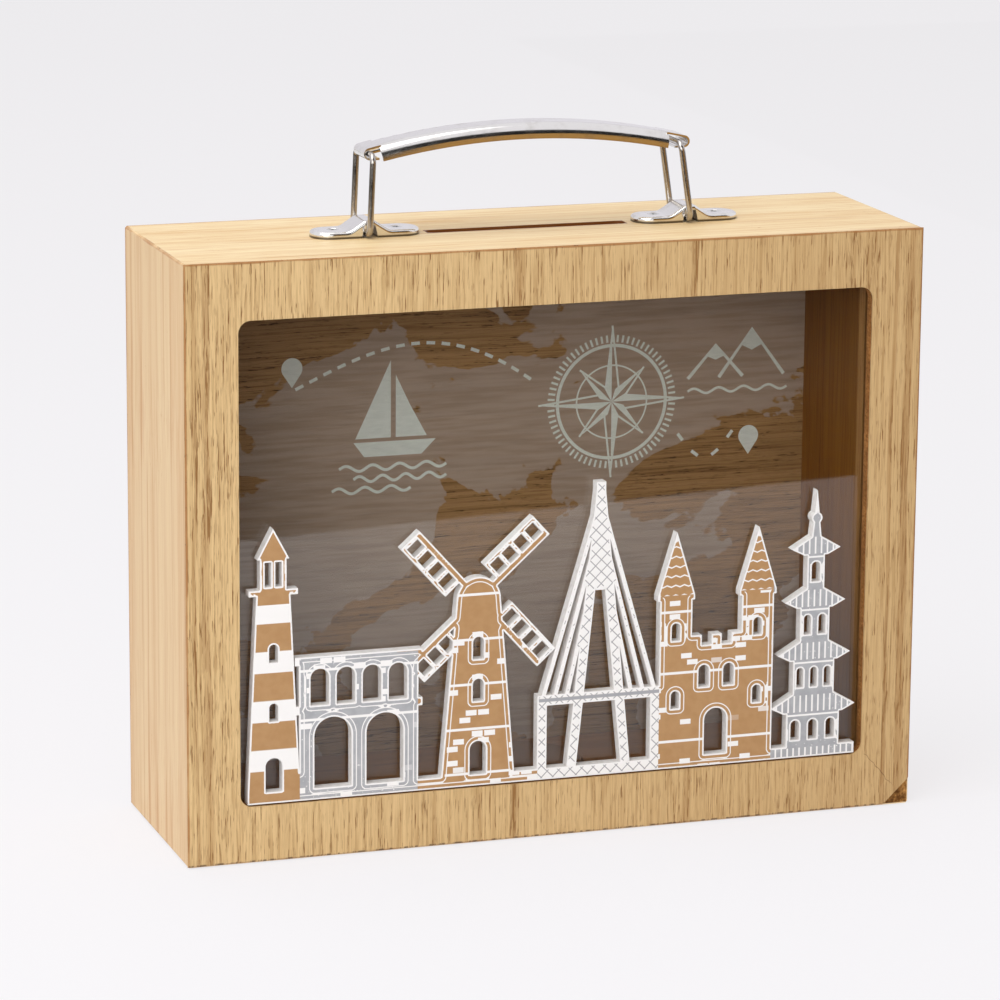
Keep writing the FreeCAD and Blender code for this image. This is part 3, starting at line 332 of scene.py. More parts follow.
crack = times(tree, crack, fade(tree, along, 0.0, 0.3))
crack = times(tree, crack, fade(tree, along, 11.0, 13.5, 1.0, 0.0))
# Painted shade: the sheet darkens towards the right, standing in for light falling off there; the pore
# bands add their own real browning.
bands_and_painted_shade = calc(tree, "ADD", times(tree, bands, 0.3),
               fade(tree, axes[0], SHADE_FROM_X, HALF_WIDTH, 0.0, SHADE_AT_RIGHT))
tufts = cloud(tree, stretch(tree, place, (420.0, 1.0, 1.0)), 1.0, 3.0, 0.7)
frayed = times(tree, fade(tree, axes[2], 0.45, 0.95, 0.85, 0.0), fade(tree, tufts, 0.46, 0.56))
colour = grain["Color"]
for mask, tint in ((bands_and_painted_shade, BAND_AND_SHADE_BROWN), (edges["Worn"], RUBBED_BROWN), (edges["Nick"], NICK),
                   (frayed, FRAYED_BROWN), (times(tree, crack, 0.6), CRACK_BROWN),
                   (edges["Inside"], VENEER_BACK)):
    colour = blend(tree, mask, colour, tint)
wire(tree, shader, Base_Color=colour, Roughness=fade(tree, grain["Height"], 0.0, 1.0, 0.66, 0.45))
dents = calc(tree, "ADD", edges["Nick"], crack)
bump(tree, shader, calc(tree, "SUBTRACT", grain["Height"], dents), 0.45)
dress(veneer, "front_veneer")
print("veneer nodes:", len(tree.nodes))

# %% [markdown]
# ## Fibreboard and beads
# The core of the front frame is brown fibreboard, seen in the cut edge round the window and
# at the broken corner. It is matt and made of short fibres, so its noise is only a little
# drawn out. The beads behind the pane are plain wood.

# %% Fibreboard and beads
fibreboard, tree, shader, place = material("raw_fibreboard", Roughness=0.85, Specular_IOR_Level=0.2)
fluff = cloud(tree, stretch(tree, place, (1.0, 1.0, 2.4)), 900.0, 5.0, 0.7)
patches = fade(tree, cloud(tree, place, 160.0, 3.0), 0.35, 0.7)
colour = blend(tree, fade(tree, fluff, 0.3, 0.72), rgb(120, 76, 36),
               rgb(186, 128, 70))
colour = blend(tree, times(tree, patches, 0.45), colour, rgb(104, 64, 30))
wire(tree, shader, Base_Color=colour)
bump(tree, shader, fluff, 0.8, 0.4 * MM)
dress(fibreboard, "front_frame_core")

bead_wood, tree, shader, place = material("plain_bead_wood", Specular_IOR_Level=0.3)
grain = use_group(tree, grain_group, {
    "Position": place, "Light": rgb(184, 136, 80), "Dark": rgb(136, 92, 48),
    "Lines": 0.6, "Tone": 0.4, "Pores": 0.3, **UPRIGHT})
wire(tree, shader, Base_Color=grain["Color"], Roughness=fade(tree, grain["Height"], 0.0, 1.0, 0.7, 0.55))
bump(tree, shader, grain["Height"], 0.3)
dress(bead_wood, *("pane_bead_" + side for side in ("top", "bottom", "left", "right")))
print("fibreboard and beads dressed")

# %% [markdown]
# ## The printed back panel
# Through the window one sees the inner face of the back panel: brown wood with lying grain,
# half covered by a thin grey ink in the shape of made-up coasts. Coasts are an easy shape for
# noise: one low-frequency noise with much detail, cut sharply at a level. Only the inner
# face is printed, and a mask on Y keeps the ink off the back.

# %% The back panel's material
INNER_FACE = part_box("back_panel")[0][1] / MM
INK_COVER = 0.86
back_wood, tree, shader, place = material("printed_back_panel", Specular_IOR_Level=0.3)
axes = millimetres(tree, place)
inside = fade(tree, axes[1], INNER_FACE + 0.1, INNER_FACE + 0.3, 1.0, 0.0)
stained = use_group(tree, grain_group, {
    "Position": place, "Light": rgb(184, 140, 90), "Dark": rgb(126, 90, 50),
    "Pore Colour": rgb(60, 39, 16), "Lines": 0.7, "Tone": 0.3, "Pores": 0.95, **LYING})
bare = use_group(tree, grain_group, {
    "Position": place, "Light": rgb(230, 198, 150), "Dark": rgb(194, 150, 98),
    "Pore Colour": rgb(140, 92, 48), "Lines": 0.55, "Tone": 0.3, "Pores": 0.35, **LYING})
flat_place = stretch(tree, place, (1.0, 0.0, 1.25))
coast = put(tree, "ShaderNodeTexNoise", {"Vector": flat_place, "Scale": 17.0, "Detail": 6.0,
                                         "Roughness": 0.52, "Distortion": 0.35}).outputs[0]
sea = times(tree, fade(tree, coast, 0.478, 0.486), inside)
uneven = cloud(tree, stretch(tree, place, (60.0, 900.0, 900.0)), 1.0, 3.0)
ink = blend(tree, fade(tree, uneven, 0.35, 0.7), rgb(190, 169, 152),
            rgb(174, 152, 134))
colour = blend(tree, inside, bare["Color"], stained["Color"])
colour = blend(tree, times(tree, sea, INK_COVER), colour, ink)
wire(tree, shader, Base_Color=colour, Roughness=fade(tree, stained["Height"], 0.0, 1.0, 0.7, 0.52))
bump(tree, shader, stained["Height"], 0.3)
dress(back_wood, "back_panel")
print("inner face at y =", round(INNER_FACE, 2), "mm")

# %% [markdown]
# ## Pale ink drawings on the panel
# Over the coasts lie drawings in a paler ink: a compass rose, a sailing boat on waves, hills
# and a dashed route with pins. They are flat shapes a few hundredths of a millimetre proud
# of the panel, and shapes that cross lie on layers of their own, so that no two faces share
# a plane. Polygons and strokes are plain mesh code; what repeats, the ticks round the rose
# and the dashes of the route, is made with Geometry Nodes.

# %% Ink material and flat shapes
INK_LIFT, INK_LAYER = 0.03, 0.03
pale_ink, tree, shader, place = material("pale_grey_ink", Roughness=0.6, Specular_IOR_Level=0.3)
rubbed_ink = cloud(tree, stretch(tree, place, (300.0, 900.0, 1400.0)), 1.0, 4.0, 0.7)
rubbed_ink = fade(tree, rubbed_ink, 0.3, 0.75)
wire(tree, shader, Base_Color=blend(tree, rubbed_ink, rgb(244, 247, 238),
                                    rgb(230, 234, 224)))

drawing = bmesh.new()
INK_Y = (INNER_FACE - INK_LIFT) * MM


def ink_shape(points, layer=0):
    """A filled polygon on the panel; points are (x, z) in millimetres, looked at from the front."""
    y = INK_Y - layer * INK_LAYER * MM
    corners = [drawing.verts.new((x * MM, y, z * MM)) for x, z in points]
    face = drawing.faces.new(corners)
    face.normal_update()
    if face.normal.y > 0:
        face.normal_flip()


def ink_stroke(points, width, closed=False, layer=0):
    """A line of even width through the points, with its ends left open or joined."""
    path = [Vector(p) for p in points]
    count = len(path)
    sides = []
    for i, here in enumerate(path):
        before = path[i - 1] if i or closed else here
        after = path[(i + 1) % count] if i < count - 1 or closed else here
        way = (after - before).normalized()
        normal = Vector((-way.y, way.x)) * width / 2
        sides.append((here + normal, here - normal))
    for i in range(count if closed else count - 1):
        (a, b), (c, d) = sides[i], sides[(i + 1) % count]
        ink_shape([a, b, d, c], layer)


def circle(x, z, radius, steps=72, start=0.0, sweep=360.0):
    """Points round a circle, or along part of it."""
    last = steps if sweep < 360.0 else steps - 1
    return [(x + radius * math.cos(math.radians(start + sweep * i / steps)),
             z + radius * math.sin(math.radians(start + sweep * i / steps))) for i in range(last + 1)]


def wave(x, z, length, height, crests, width):
    """A wavy stroke from (x, z) to the right."""
    steps = 12 * crests
    ink_stroke([(x + length * i / steps, z + height * math.sin(2 * math.pi * crests * i / steps))
                for i in range(steps + 1)], width)


print("ink lies at y =", round(INK_Y / MM, 2), "mm")

# %% The rose, the boat and the hills
ROSE_X, ROSE_Z, ROSE_RADIUS = 34.0, 103.0, 21.0
for turn in range(8):
    reach = ROSE_RADIUS if turn % 2 == 0 else ROSE_RADIUS * 0.62
    waist = ROSE_RADIUS * (0.2 if turn % 2 == 0 else 0.17)
    heading = math.radians(45.0 * turn + 90.0)
    tip = (ROSE_X + reach * math.cos(heading), ROSE_Z + reach * math.sin(heading))
    hand = (ROSE_X + waist * math.cos(heading + 0.5), ROSE_Z + waist * math.sin(heading + 0.5))
    other = (ROSE_X + waist * math.cos(heading - 0.5), ROSE_Z + waist * math.sin(heading - 0.5))
    ink_shape([(ROSE_X, ROSE_Z), hand, tip])
    ink_stroke([other, tip], 0.55, layer=1)
ink_stroke(circle(ROSE_X, ROSE_Z, ROSE_RADIUS * 0.74), 0.9, closed=True, layer=2)
ink_stroke(circle(ROSE_X, ROSE_Z, ROSE_RADIUS * 0.48), 0.45, closed=True, layer=2)

BOAT_X, BOAT_Z = -28.0, 92.0
HULL = ((-11, 4), (-8, 0), (8, 0), (12, 4))
MAINSAIL = ((-0.6, 5), (-0.6, 26), (-10.5, 5))
FORESAIL = ((0.8, 5), (9.5, 5), (4.6, 14), (0.8, 22))
for part in (HULL, MAINSAIL, FORESAIL):
    ink_shape([(BOAT_X + x, BOAT_Z + z) for x, z in part])
for row, (shift, length) in enumerate(((-15.0, 30.0), (-11.0, 26.0), (-17.0, 22.0))):
    wave(BOAT_X + shift, BOAT_Z - 3.0 - 3.0 * row, length, 0.8, 4 - row // 2, 0.8)

HILL_X, HILL_Z = 70.0, 108.0
SLOPE, SNOW = ((-1, 0), (0, 1), (1, 0)), ((-0.3, 0.66), (0, 1), (0.3, 0.66), (0, 0.55))
for layer, shift, height, half in ((0, -6.0, 9.0, 8.0), (2, 4.5, 13.0, 9.5)):
    slope, snow = ([(HILL_X + shift + half * x, HILL_Z + height * z) for x, z in part]
                   for part in (SLOPE, SNOW))
    ink_stroke(slope, 1.0, layer=layer)
    ink_shape(snow, layer + 1)
wave(HILL_X - 14.0, HILL_Z - 3.5, 29.0, 0.7, 4, 0.7)
PINS = ((-56.0, 112.0), (74.0, 86.0))
for x, z in PINS:
    ring = circle(x, z + 5.2, 2.9, 24, -30.0, 240.0)
    ink_shape(ring + [(x, z)])
print("drawing faces so far:", len(drawing.faces))

# %% Ticks and dashes with Geometry Nodes
def tick_tree():
    """Lays flat bars along a curve, turned along it or across it."""
    tree, given, result = node_group(
        "bars_along_curve", [("Curve", "Geometry", None), ("Count", "Int", 24),
                             ("Bar Along", "Float", 2.0 * MM), ("Bar Across", "Float", 0.6 * MM)],
        [("Bars", "Geometry")], "Geometry")
    points = put(tree, "GeometryNodeCurveToPoints", {"Curve": given["Curve"], "Count": given["Count"]},
                 mode="COUNT")
    bar = put(tree, "GeometryNodeMeshGrid", {"Size X": given["Bar Along"], "Size Y": given["Bar Across"],
                                             "Vertices X": 2, "Vertices Y": 2})
    upright = put(tree, "GeometryNodeTransform", {"Geometry": bar.outputs["Mesh"],
                                                  "Rotation": (math.radians(90.0), 0.0, 0.0)})
    turn = put(tree, "FunctionNodeAlignRotationToVector", {"Vector": points.outputs["Tangent"]},
               axis="X", pivot_axis="Y")
    spread = put(tree, "GeometryNodeInstanceOnPoints",
                 {"Points": points.outputs["Points"], "Instance": upright.outputs["Geometry"],
                  "Rotation": turn.outputs["Rotation"]})
    real = put(tree, "GeometryNodeRealizeInstances", {"Geometry": spread.outputs["Instances"]})
    dressed = put(tree, "GeometryNodeSetMaterial", {"Geometry": real.outputs["Geometry"],
                                                    "Material": pale_ink})
    tree.links.new(dressed.outputs["Geometry"], result["Bars"])
    return tree


BARS, BAR_LAYER = tick_tree(), 3


def bars_along(points, cyclic, **sizes):
    """Runs the bar tree on a line through the points and adds its mesh to the drawing."""
    curve = bpy.data.curves.new("ink_path", "CURVE")
    curve.dimensions = "3D"
    spline = curve.splines.new("POLY")
    spline.points.add(len(points) - 1)
    for point, (x, z) in zip(spline.points, points):
        point.co = (x * MM, INK_Y - BAR_LAYER * INK_LAYER * MM, z * MM, 1.0)
    spline.use_cyclic_u = cyclic
    carrier = bpy.data.objects.new("ink_path", curve)
    bpy.context.scene.collection.objects.link(carrier)
    modifier = carrier.modifiers.new("bars", "NODES")
    modifier.node_group = BARS
    for item in BARS.interface.items_tree:
        if item.in_out == "INPUT" and item.name in sizes:
            modifier[item.identifier] = sizes[item.name]
    graph = bpy.context.evaluated_depsgraph_get()
    mesh = bpy.data.meshes.new_from_object(carrier.evaluated_get(graph))
    drawing.from_mesh(mesh)
    made = len(mesh.polygons)
    bpy.data.objects.remove(carrier)
    return made


TICK = {"Bar Along": 0.6 * MM, "Bar Across": 2.0 * MM}
DASH = {"Bar Along": 2.4 * MM, "Bar Across": 0.9 * MM}
CLEAR_OF_ROSE, CLEAR_OF_FRAME = 23, 124
ticks = bars_along(circle(ROSE_X, ROSE_Z, ROSE_RADIUS * 0.83), True, Count=72, **TICK)
route = [(-54.0 + 88.0 * t / 40, 112.0 + 20.0 * math.sin(math.pi * t / 40) - 22.0 * t / 40)
         for t in range(41)]
route = [p for p in route if math.dist(p, (ROSE_X, ROSE_Z)) > CLEAR_OF_ROSE and p[1] < CLEAR_OF_FRAME]
leg = [(ROSE_X + 14.5 * t / 20 + 20.0, 92.0 - 6.0 * math.sin(math.pi * t / 20)) for t in range(21)]
dashes = bars_along(route, False, Count=17, **DASH) + bars_along(leg, False, Count=4, **DASH)
print("ticks:", ticks, "dashes:", dashes)

# %% Close the drawing
def new_piece(name, mesh_maker, finish, body):
    """Turns a bmesh into a piece that rides on a body and takes a finish."""
    mesh = bpy.data.meshes.new(name)
    mesh_maker.to_mesh(mesh)
    mesh_maker.free()
    mesh.materials.clear()
    mesh.materials.append(finish)
    for polygon in mesh.polygons:
        polygon.material_index = 0
    piece = bpy.data.objects.new(name, mesh)
    bpy.context.scene.collection.objects.link(piece)
    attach(piece, body)
    return piece


def film(piece, thickness):
    """Gives a flat sheet a little thickness behind its face."""
    solid = piece.modifiers.new("film", "SOLIDIFY")
    solid.thickness = thickness * MM
    solid.offset = -1.0


map_drawing = new_piece("back_panel_drawing", drawing, pale_ink, "box")
film(map_drawing, INK_LIFT * 0.8)
print("drawing:", len(map_drawing.data.polygons), "faces")

# %% [markdown]
# ## The skyline plate and its print
# The plate is cut from a white-painted sheet, so its edges and the rims of its windows are
# white. The print on its face is a separate film: a copy of the plate's front face, cut into
# small cells, where each corner knows how far it is from the nearest cut edge. The shader
# reads that distance to leave a white margin along every edge, as the real print does.

# %% The white plate
white_paint, tree, shader, place = material("white_painted_plate", Specular_IOR_Level=0.4)
mottle = fade(tree, cloud(tree, place, 700.0, 4.0, 0.6), 0.3, 0.75)
colour = blend(tree, mottle, rgb(242, 240, 238), rgb(226, 221, 217))
wire(tree, shader, Base_Color=colour, Roughness=fade(tree, mottle, 0.0, 1.0, 0.42, 0.58))
bump(tree, shader, mottle, 0.15)
dress(white_paint, "skyline_cutout")
print("plate dressed")

# %% The print film's mesh
CELL, RIM_STEP, FILM_LIFT = 0.7, 0.2, 0.03
sheet = bmesh.new()
sheet.from_mesh(solids["skyline_cutout"].data)
bmesh.ops.remove_doubles(sheet, verts=sheet.verts, dist=1e-7)
front_y = min(v.co.y for v in sheet.verts)
bmesh.ops.delete(sheet, geom=[f for f in sheet.faces if any(v.co.y > front_y + 1e-6 for v in f.verts)],
                 context="FACES")
samples = []
for rim in sheet.edges:
    if rim.is_boundary:
        a, b = rim.verts[0].co, rim.verts[1].co
        steps = max(1, math.ceil((b - a).length / (RIM_STEP * MM)))
        samples += [a.lerp(b, i / steps) for i in range(steps + 1)]
rims = KDTree(len(samples))
for i, point in enumerate(samples):
    rims.insert(point, i)
rims.balance()
for axis in (0, 2):
    low = min(v.co[axis] for v in sheet.verts)
    high = max(v.co[axis] for v in sheet.verts)
    normal = Vector((0.0, 0.0, 0.0))
    normal[axis] = 1.0
    for k in range(1, int((high - low) / (CELL * MM)) + 1):
        whole = sheet.verts[:] + sheet.edges[:] + sheet.faces[:]
        bmesh.ops.bisect_plane(sheet, geom=whole, plane_co=normal * (low + k * CELL * MM),
                               plane_no=normal, dist=1e-8)
distance = sheet.verts.layers.float.new("edge_distance")
for v in sheet.verts:
    v[distance] = rims.find(v.co)[2] / MM
    v.co.y -= FILM_LIFT * MM
print("print film:", len(sheet.faces), "cells, rim samples:", len(samples))

# %% The print's colours
GOLD, GOLD_DEEP = rgb(181, 140, 94), rgb(175, 133, 87)
SILVER, SILVER_DEEP = rgb(174, 175, 178), rgb(163, 164, 168)
PAPER_WHITE = rgb(240, 238, 236)
MARGIN = 0.42
printed, tree, shader, place = material("flat_gold_and_silver_print", Roughness=0.5,
                                        Specular_IOR_Level=0.4)
axes = millimetres(tree, place)
x, z = axes[0], axes[2]
rim = put(tree, "ShaderNodeAttribute", attribute_name="edge_distance").outputs["Fac"]


def between(value, low, high, soft=0.05):
    """1 from low to high, with soft ends."""
    return times(tree, fade(tree, value, low - soft, low + soft),
                 fade(tree, value, high - soft, high + soft, 1.0, 0.0))


def stripes(value, pitch, part, soft=0.03):
    """1 on the first part of every pitch, 0 on the rest."""
    place_in = calc(tree, "FRACT", calc(tree, "DIVIDE", value, pitch))
    return times(tree, fade(tree, place_in, 0.0, soft),
                 fade(tree, place_in, part - soft, part + soft, 1.0, 0.0))


def accents(width, height, share):
    """A few stones of a wall left white, scattered in level courses."""
    flat = put(tree, "ShaderNodeCombineXYZ", {0: x, 1: z}).outputs[0]
    wall = put(tree, "ShaderNodeTexBrick", {
        "Vector": flat, "Scale": 1.0, "Mortar Size": 0.22, "Mortar Smooth": 0.1, "Brick Width": width,
        "Row Height": height, "Color1": (0.0, 0.0, 0.0, 1.0), "Color2": (1.0, 1.0, 1.0, 1.0),
        "Mortar": (0.0, 0.0, 0.0, 1.0)}).outputs
    return times(tree, fade(tree, wall["Color"], 1.0 - share, 1.02 - share),
                 calc(tree, "SUBTRACT", 1.0, wall["Fac"]))


def either(*masks):
    """1 where any of the masks is."""
    total = masks[0]
    for mask in masks[1:]:
        total = calc(tree, "MAXIMUM", total, mask)
    return total


def both(a, b):
    """1 where the two masks overlap."""
    return times(tree, a, b)


def below(value, top, soft=0.1):
    """1 up to a height, 0 above it."""
    return fade(tree, value, top, top + soft, 1.0, 0.0)


PLOT_ENDS = (-90.0, -70.06, -38.28, -5.5, 28.22, 60.06, 90.0)
SAIL_FOOT, SAIL_TOP, SAIL_LEFT, SAIL_RIGHT = 53.0, 86.0, -44.0, 0.5
lighthouse, viaduct, windmill, bridge, castle, pagoda = (
    between(x, start, end) for start, end in zip(PLOT_ENDS, PLOT_ENDS[1:]))
sails = both(between(z, SAIL_FOOT, SAIL_TOP), between(x, SAIL_LEFT, SAIL_RIGHT))
beside_sails = calc(tree, "SUBTRACT", 1.0, sails)
viaduct, bridge = both(viaduct, beside_sails), both(bridge, beside_sails)
windmill = either(both(windmill, below(z, SAIL_FOOT)), sails)
silver_part = either(viaduct, pagoda)
print("print masks made")

# %% The print's line work
GROUND, STOREY, MILL_MIDDLE, BRIDGE_MIDDLE = 18.4, 14.4, -21.89, 11.39
TOWER_ENDS, TOWER_BAND, STONE_SHARE = (24.0, 68.0), 13.0, 0.16
VIADUCT_LEDGES, CASTLE_LEDGES = (36.4, 49.5), (22.4, 41.0, 57.6)
LEDGE, TILE, LATTICE_PITCH, ROOF_FOOT = 0.7, 2.4, 3.2, 62.0


def ledges(heights):
    """White lines at some heights."""
    return either(*(between(z, height, height + LEDGE) for height in heights))


def over(value, start):
    """The value, counted from a start."""
    return calc(tree, "SUBTRACT", value, start)


bridge_x, above_ground = over(x, BRIDGE_MIDDLE), over(z, GROUND)
contour = between(rim, 1.15, 1.42)
painted_bands = both(stripes(over(z, TOWER_ENDS[0]), TOWER_BAND, 0.44, 0.012),
                     between(z, *TOWER_ENDS))
arcade = either(accents(3.6, 1.9, STONE_SHARE), contour, ledges(VIADUCT_LEDGES))
mill_floors = both(stripes(above_ground, 12.0, 0.06, 0.006),
                   below(calc(tree, "ABSOLUTE", over(x, MILL_MIDDLE)), 9.0))
mill_wall = either(both(accents(3.4, 1.9, STONE_SHARE), below(z, 57.0)), contour, mill_floors)
castle_wall = both(either(accents(3.4, 1.8, STONE_SHARE), contour, ledges(CASTLE_LEDGES)),
                   below(z, ROOF_FOOT, 0.2))
scallop = calc(tree, "ABSOLUTE", over(calc(tree, "FRACT", calc(tree, "DIVIDE", x, TILE)), 0.5))
castle_roof = both(stripes(calc(tree, "ADD", z, scallop), 2.6, 0.16),
                   fade(tree, z, ROOF_FOOT + 0.4, ROOF_FOOT + 0.5))
storey = times(tree, calc(tree, "FRACT", calc(tree, "DIVIDE", above_ground, STOREY)), STOREY)
pagoda_roofs = either(both(stripes(x, 1.7, 0.3, 0.05), between(storey, 9.4, 14.0)),
                      between(storey, 8.3, 8.8))
lines = either(both(lighthouse, painted_bands), both(viaduct, arcade), both(windmill, mill_wall),
               both(castle, either(castle_wall, castle_roof)), both(pagoda, pagoda_roofs))
lattice = either(*(stripes(calc(tree, slant, bridge_x, z), LATTICE_PITCH, 0.13)
                   for slant in ("ADD", "SUBTRACT")), between(z, 36.4, 37.3))
ground = blend(tree, silver_part, GOLD, SILVER)
deeper = blend(tree, silver_part, GOLD_DEEP, SILVER_DEEP)
tone = fade(tree, cloud(tree, place, 420.0, 3.0), 0.3, 0.72)
colour = blend(tree, tone, ground, deeper)
flecks = fade(tree, cloud(tree, place, 1500.0, 2.0, 0.6), 0.665, 0.69)
for where in (fade(tree, silver_part, 0.4, 0.6), fade(tree, cloud(tree, place, 90.0, 1.0), 0.42, 0.6)):
    flecks = both(flecks, where)
white = either(lines, flecks, fade(tree, rim, MARGIN - 0.05, MARGIN + 0.05, 1.0, 0.0),
               both(bridge, calc(tree, "SUBTRACT", 1.0, lattice)))
colour = blend(tree, both(bridge, lattice), colour, SILVER_DEEP)
colour = blend(tree, white, colour, PAPER_WHITE)
wire(tree, shader, Base_Color=colour, Roughness=fade(tree, tone, 0.0, 1.0, 0.42, 0.56))
skyline_print = new_piece("skyline_print", sheet, printed, "box")
film(skyline_print, FILM_LIFT * 0.8)
print("print nodes:", len(tree.nodes))

# %% [markdown]
# ## The clear pane
# The pane is clear acrylic. The Principled shader with full transmission gives its reflections
# by Fresnel. Light that comes straight from a lamp would stop at a refracting surface, so for
# shadow rays alone the material turns transparent, and the inside of the box gets its light.

# %% The pane's material
clear, tree, shader, place = material("clear_acrylic", Transmission_Weight=1.0, IOR=1.49,
                                      Base_Color=(0.95, 0.965, 0.96, 1.0))
smear = cloud(tree, stretch(tree, place, (1.0, 1.0, 0.6)), 14.0, 1.0)
wire(tree, shader, Roughness=fade(tree, smear, 0.4, 0.8, 0.0, 0.02))
path = put(tree, "ShaderNodeLightPath")
through = put(tree, "ShaderNodeBsdfTransparent", {"Color": (0.93, 0.94, 0.935, 1.0)})
either_way = put(tree, "ShaderNodeMixShader", {0: path.outputs["Is Shadow Ray"],
                                               1: shader.outputs[0], 2: through.outputs[0]})
tree.links.new(either_way.outputs[0], tree.nodes["Material Output"].inputs["Surface"])
dress(clear, "window_pane")
print("pane dressed")

# %% [markdown]
# ## Bright handle, screws and stopper
# The handle is nickel plated: fully metallic and nearly smooth, with fine brushing in its
# roughness and bump. The wire of the loops is duller than the stamped parts, and a dark rim
# is painted on the metal just above the wood, a painted shade and painted dark reflection
# where metal meets wood. The screws are zinc plated, and the stopper in the base is brown
# rubber with a dusty bloom.

# %% Metals and rubber
RIM_SHADE_COLOUR, RIM_SHADE_HEIGHT = (0.07, 0.055, 0.04, 1.0), 0.75


def metal(name, colour, dull, low, high, scratch):
    """Plated metal, duller where it was handled, with a painted dark rim of shade just above the wood.
    """
    made, tree, shader, place = material(name, Metallic=1.0)
    smudge = cloud(tree, place, 160.0, 4.0, 0.6)
    brushed = cloud(tree, stretch(tree, place, (120.0, 2600.0, 2600.0)), 1.0, 3.0, 0.6)
    worn = fade(tree, smudge, 0.45, 0.75)
    over_wood = calc(tree, "SUBTRACT", millimetres(tree, place)[2], BOX_HEIGHT)
    # Painted shade: a dark rim on the metal within 0.75 mm above the wood, standing in for shade and
    # dark reflection where the parts meet.
    painted_rim = times(tree, fade(tree, over_wood, RIM_SHADE_HEIGHT * 0.5, RIM_SHADE_HEIGHT, 0.9, 0.0),
                 fade(tree, over_wood, -0.2, 0.0))
    plated = blend(tree, worn, colour, dull)
    rough = calc(tree, "ADD", fade(tree, smudge, 0.3, 0.75, low, high),
                 fade(tree, brushed, 0.4, 0.7, 0.0, 0.05))
    wire(tree, shader, Base_Color=blend(tree, painted_rim, plated, RIM_SHADE_COLOUR), Roughness=rough)
    bump(tree, shader, brushed, scratch, 0.02 * MM)
    return made


nickel = metal("bright_nickel", (0.82, 0.81, 0.79, 1.0), (0.70, 0.68, 0.65, 1.0), 0.1, 0.2, 0.15)
zinc = metal("zinc_plated_steel", (0.72, 0.72, 0.70, 1.0), (0.55, 0.54, 0.52, 1.0), 0.18, 0.34, 0.3)
dull_nickel = metal("dull_nickel_wire", (0.5, 0.47, 0.44, 1.0), (0.4, 0.37, 0.34, 1.0), 0.14, 0.24, 0.2)
dress(nickel, "handle_foot_left", "handle_foot_right", "handle_grip")
dress(dull_nickel, "handle_loop_left", "handle_loop_right")
dress(zinc, "handle_foot_screws", "back_panel_screws")

rubber, tree, shader, place = material("brown_rubber", Specular_IOR_Level=0.3)
bloom = fade(tree, cloud(tree, place, 380.0, 5.0, 0.65), 0.35, 0.75)
colour = blend(tree, bloom, rgb(122, 82, 46), rgb(138, 98, 60))
wire(tree, shader, Base_Color=colour, Roughness=fade(tree, bloom, 0.0, 1.0, 0.62, 0.85))
bump(tree, shader, bloom, 0.2)
dress(rubber, "emptying_stopper")
print("handle, screws and stopper dressed")

# %% [markdown]
# ## The broken corner
# At the lower right corner the veneer has come away and taken some fibres with it. The CAD
# veneer already lacks the corner. What is left is a torn, creased surface, so a fine triangle
# mesh is raised by noise to less than the veneer's thickness.

# %% The scar
torn, tree, shader, place = material("torn_fibreboard", Roughness=0.9, Specular_IOR_Level=0.15)
crumbs = cloud(tree, stretch(tree, place, (1.0, 0.3, 1.0)), 520.0, 5.0, 0.7)
crease_shade = fade(tree, cloud(tree, stretch(tree, place, (1.0, 0.2, 0.45)), 420.0, 2.0), 0.44, 0.56)
# Painted light: the tones are partly the torn fibres' own colour and partly painted, with painted shade
# in the dips and along the creases and painted highlights on the crumb tops.
colour = blend(tree, fade(tree, crumbs, 0.38, 0.64), rgb(104, 66, 28),
               rgb(198, 144, 80))
colour = blend(tree, times(tree, crease_shade, 0.6), colour, rgb(84, 50, 20))
colour = blend(tree, fade(tree, crumbs, 0.62, 0.7), colour, rgb(216, 172, 118))
wire(tree, shader, Base_Color=colour)
bump(tree, shader, crumbs, 1.0, 0.6 * MM)
SCAR_STEPS = 30
SCAR_CORNERS = (Vector((92.75, 0.3)), Vector((99.7, 0.3)), Vector((99.7, 7.1)))
SCAR_BACK, SCAR_RISE = -29.38, 0.5
scar = bmesh.new()
front, back = {}, {}
for i in range(SCAR_STEPS + 1):
    for j in range(SCAR_STEPS + 1 - i):
        k = SCAR_STEPS - i - j
        flat = (SCAR_CORNERS[0] * i + SCAR_CORNERS[1] * j + SCAR_CORNERS[2] * k) / SCAR_STEPS
        ridge = 1.0 - abs(noise.noise((flat.x * 0.55, flat.y * 0.55 + flat.x * 0.3, 3.0))) * 2.2
        crumb = noise.noise((flat.x * 2.1, flat.y * 2.1, 8.0)) * 0.5
        rise = SCAR_RISE * min(1.0, max(0.08, 0.45 + 0.45 * ridge + 0.35 * crumb))
        rise *= min(1.0, 0.25 + 3.0 * min(i, j, k) / SCAR_STEPS)
        front[i, j] = scar.verts.new((flat.x * MM, (SCAR_BACK - 0.05 - rise) * MM, flat.y * MM))
        back[i, j] = scar.verts.new((flat.x * MM, SCAR_BACK * MM, flat.y * MM))
for i in range(SCAR_STEPS):
    for j in range(SCAR_STEPS - i):
        for skin in (front, back):
            scar.faces.new((skin[i, j], skin[i + 1, j], skin[i, j + 1]))
            if i + j < SCAR_STEPS - 1:
                scar.faces.new((skin[i + 1, j], skin[i + 1, j + 1], skin[i, j + 1]))
rim_walk = ([(i, 0) for i in range(SCAR_STEPS)] + [(SCAR_STEPS - i, i) for i in range(SCAR_STEPS)]
            + [(0, SCAR_STEPS - i) for i in range(SCAR_STEPS)])
for here, after in zip(rim_walk, rim_walk[1:] + rim_walk[:1]):
    scar.faces.new((front[here], front[after], back[after], back[here]))
bmesh.ops.recalc_face_normals(scar, faces=scar.faces)
chip_scar = new_piece("chip_scar", scar, torn, "box")
print("scar faces:", len(chip_scar.data.polygons))

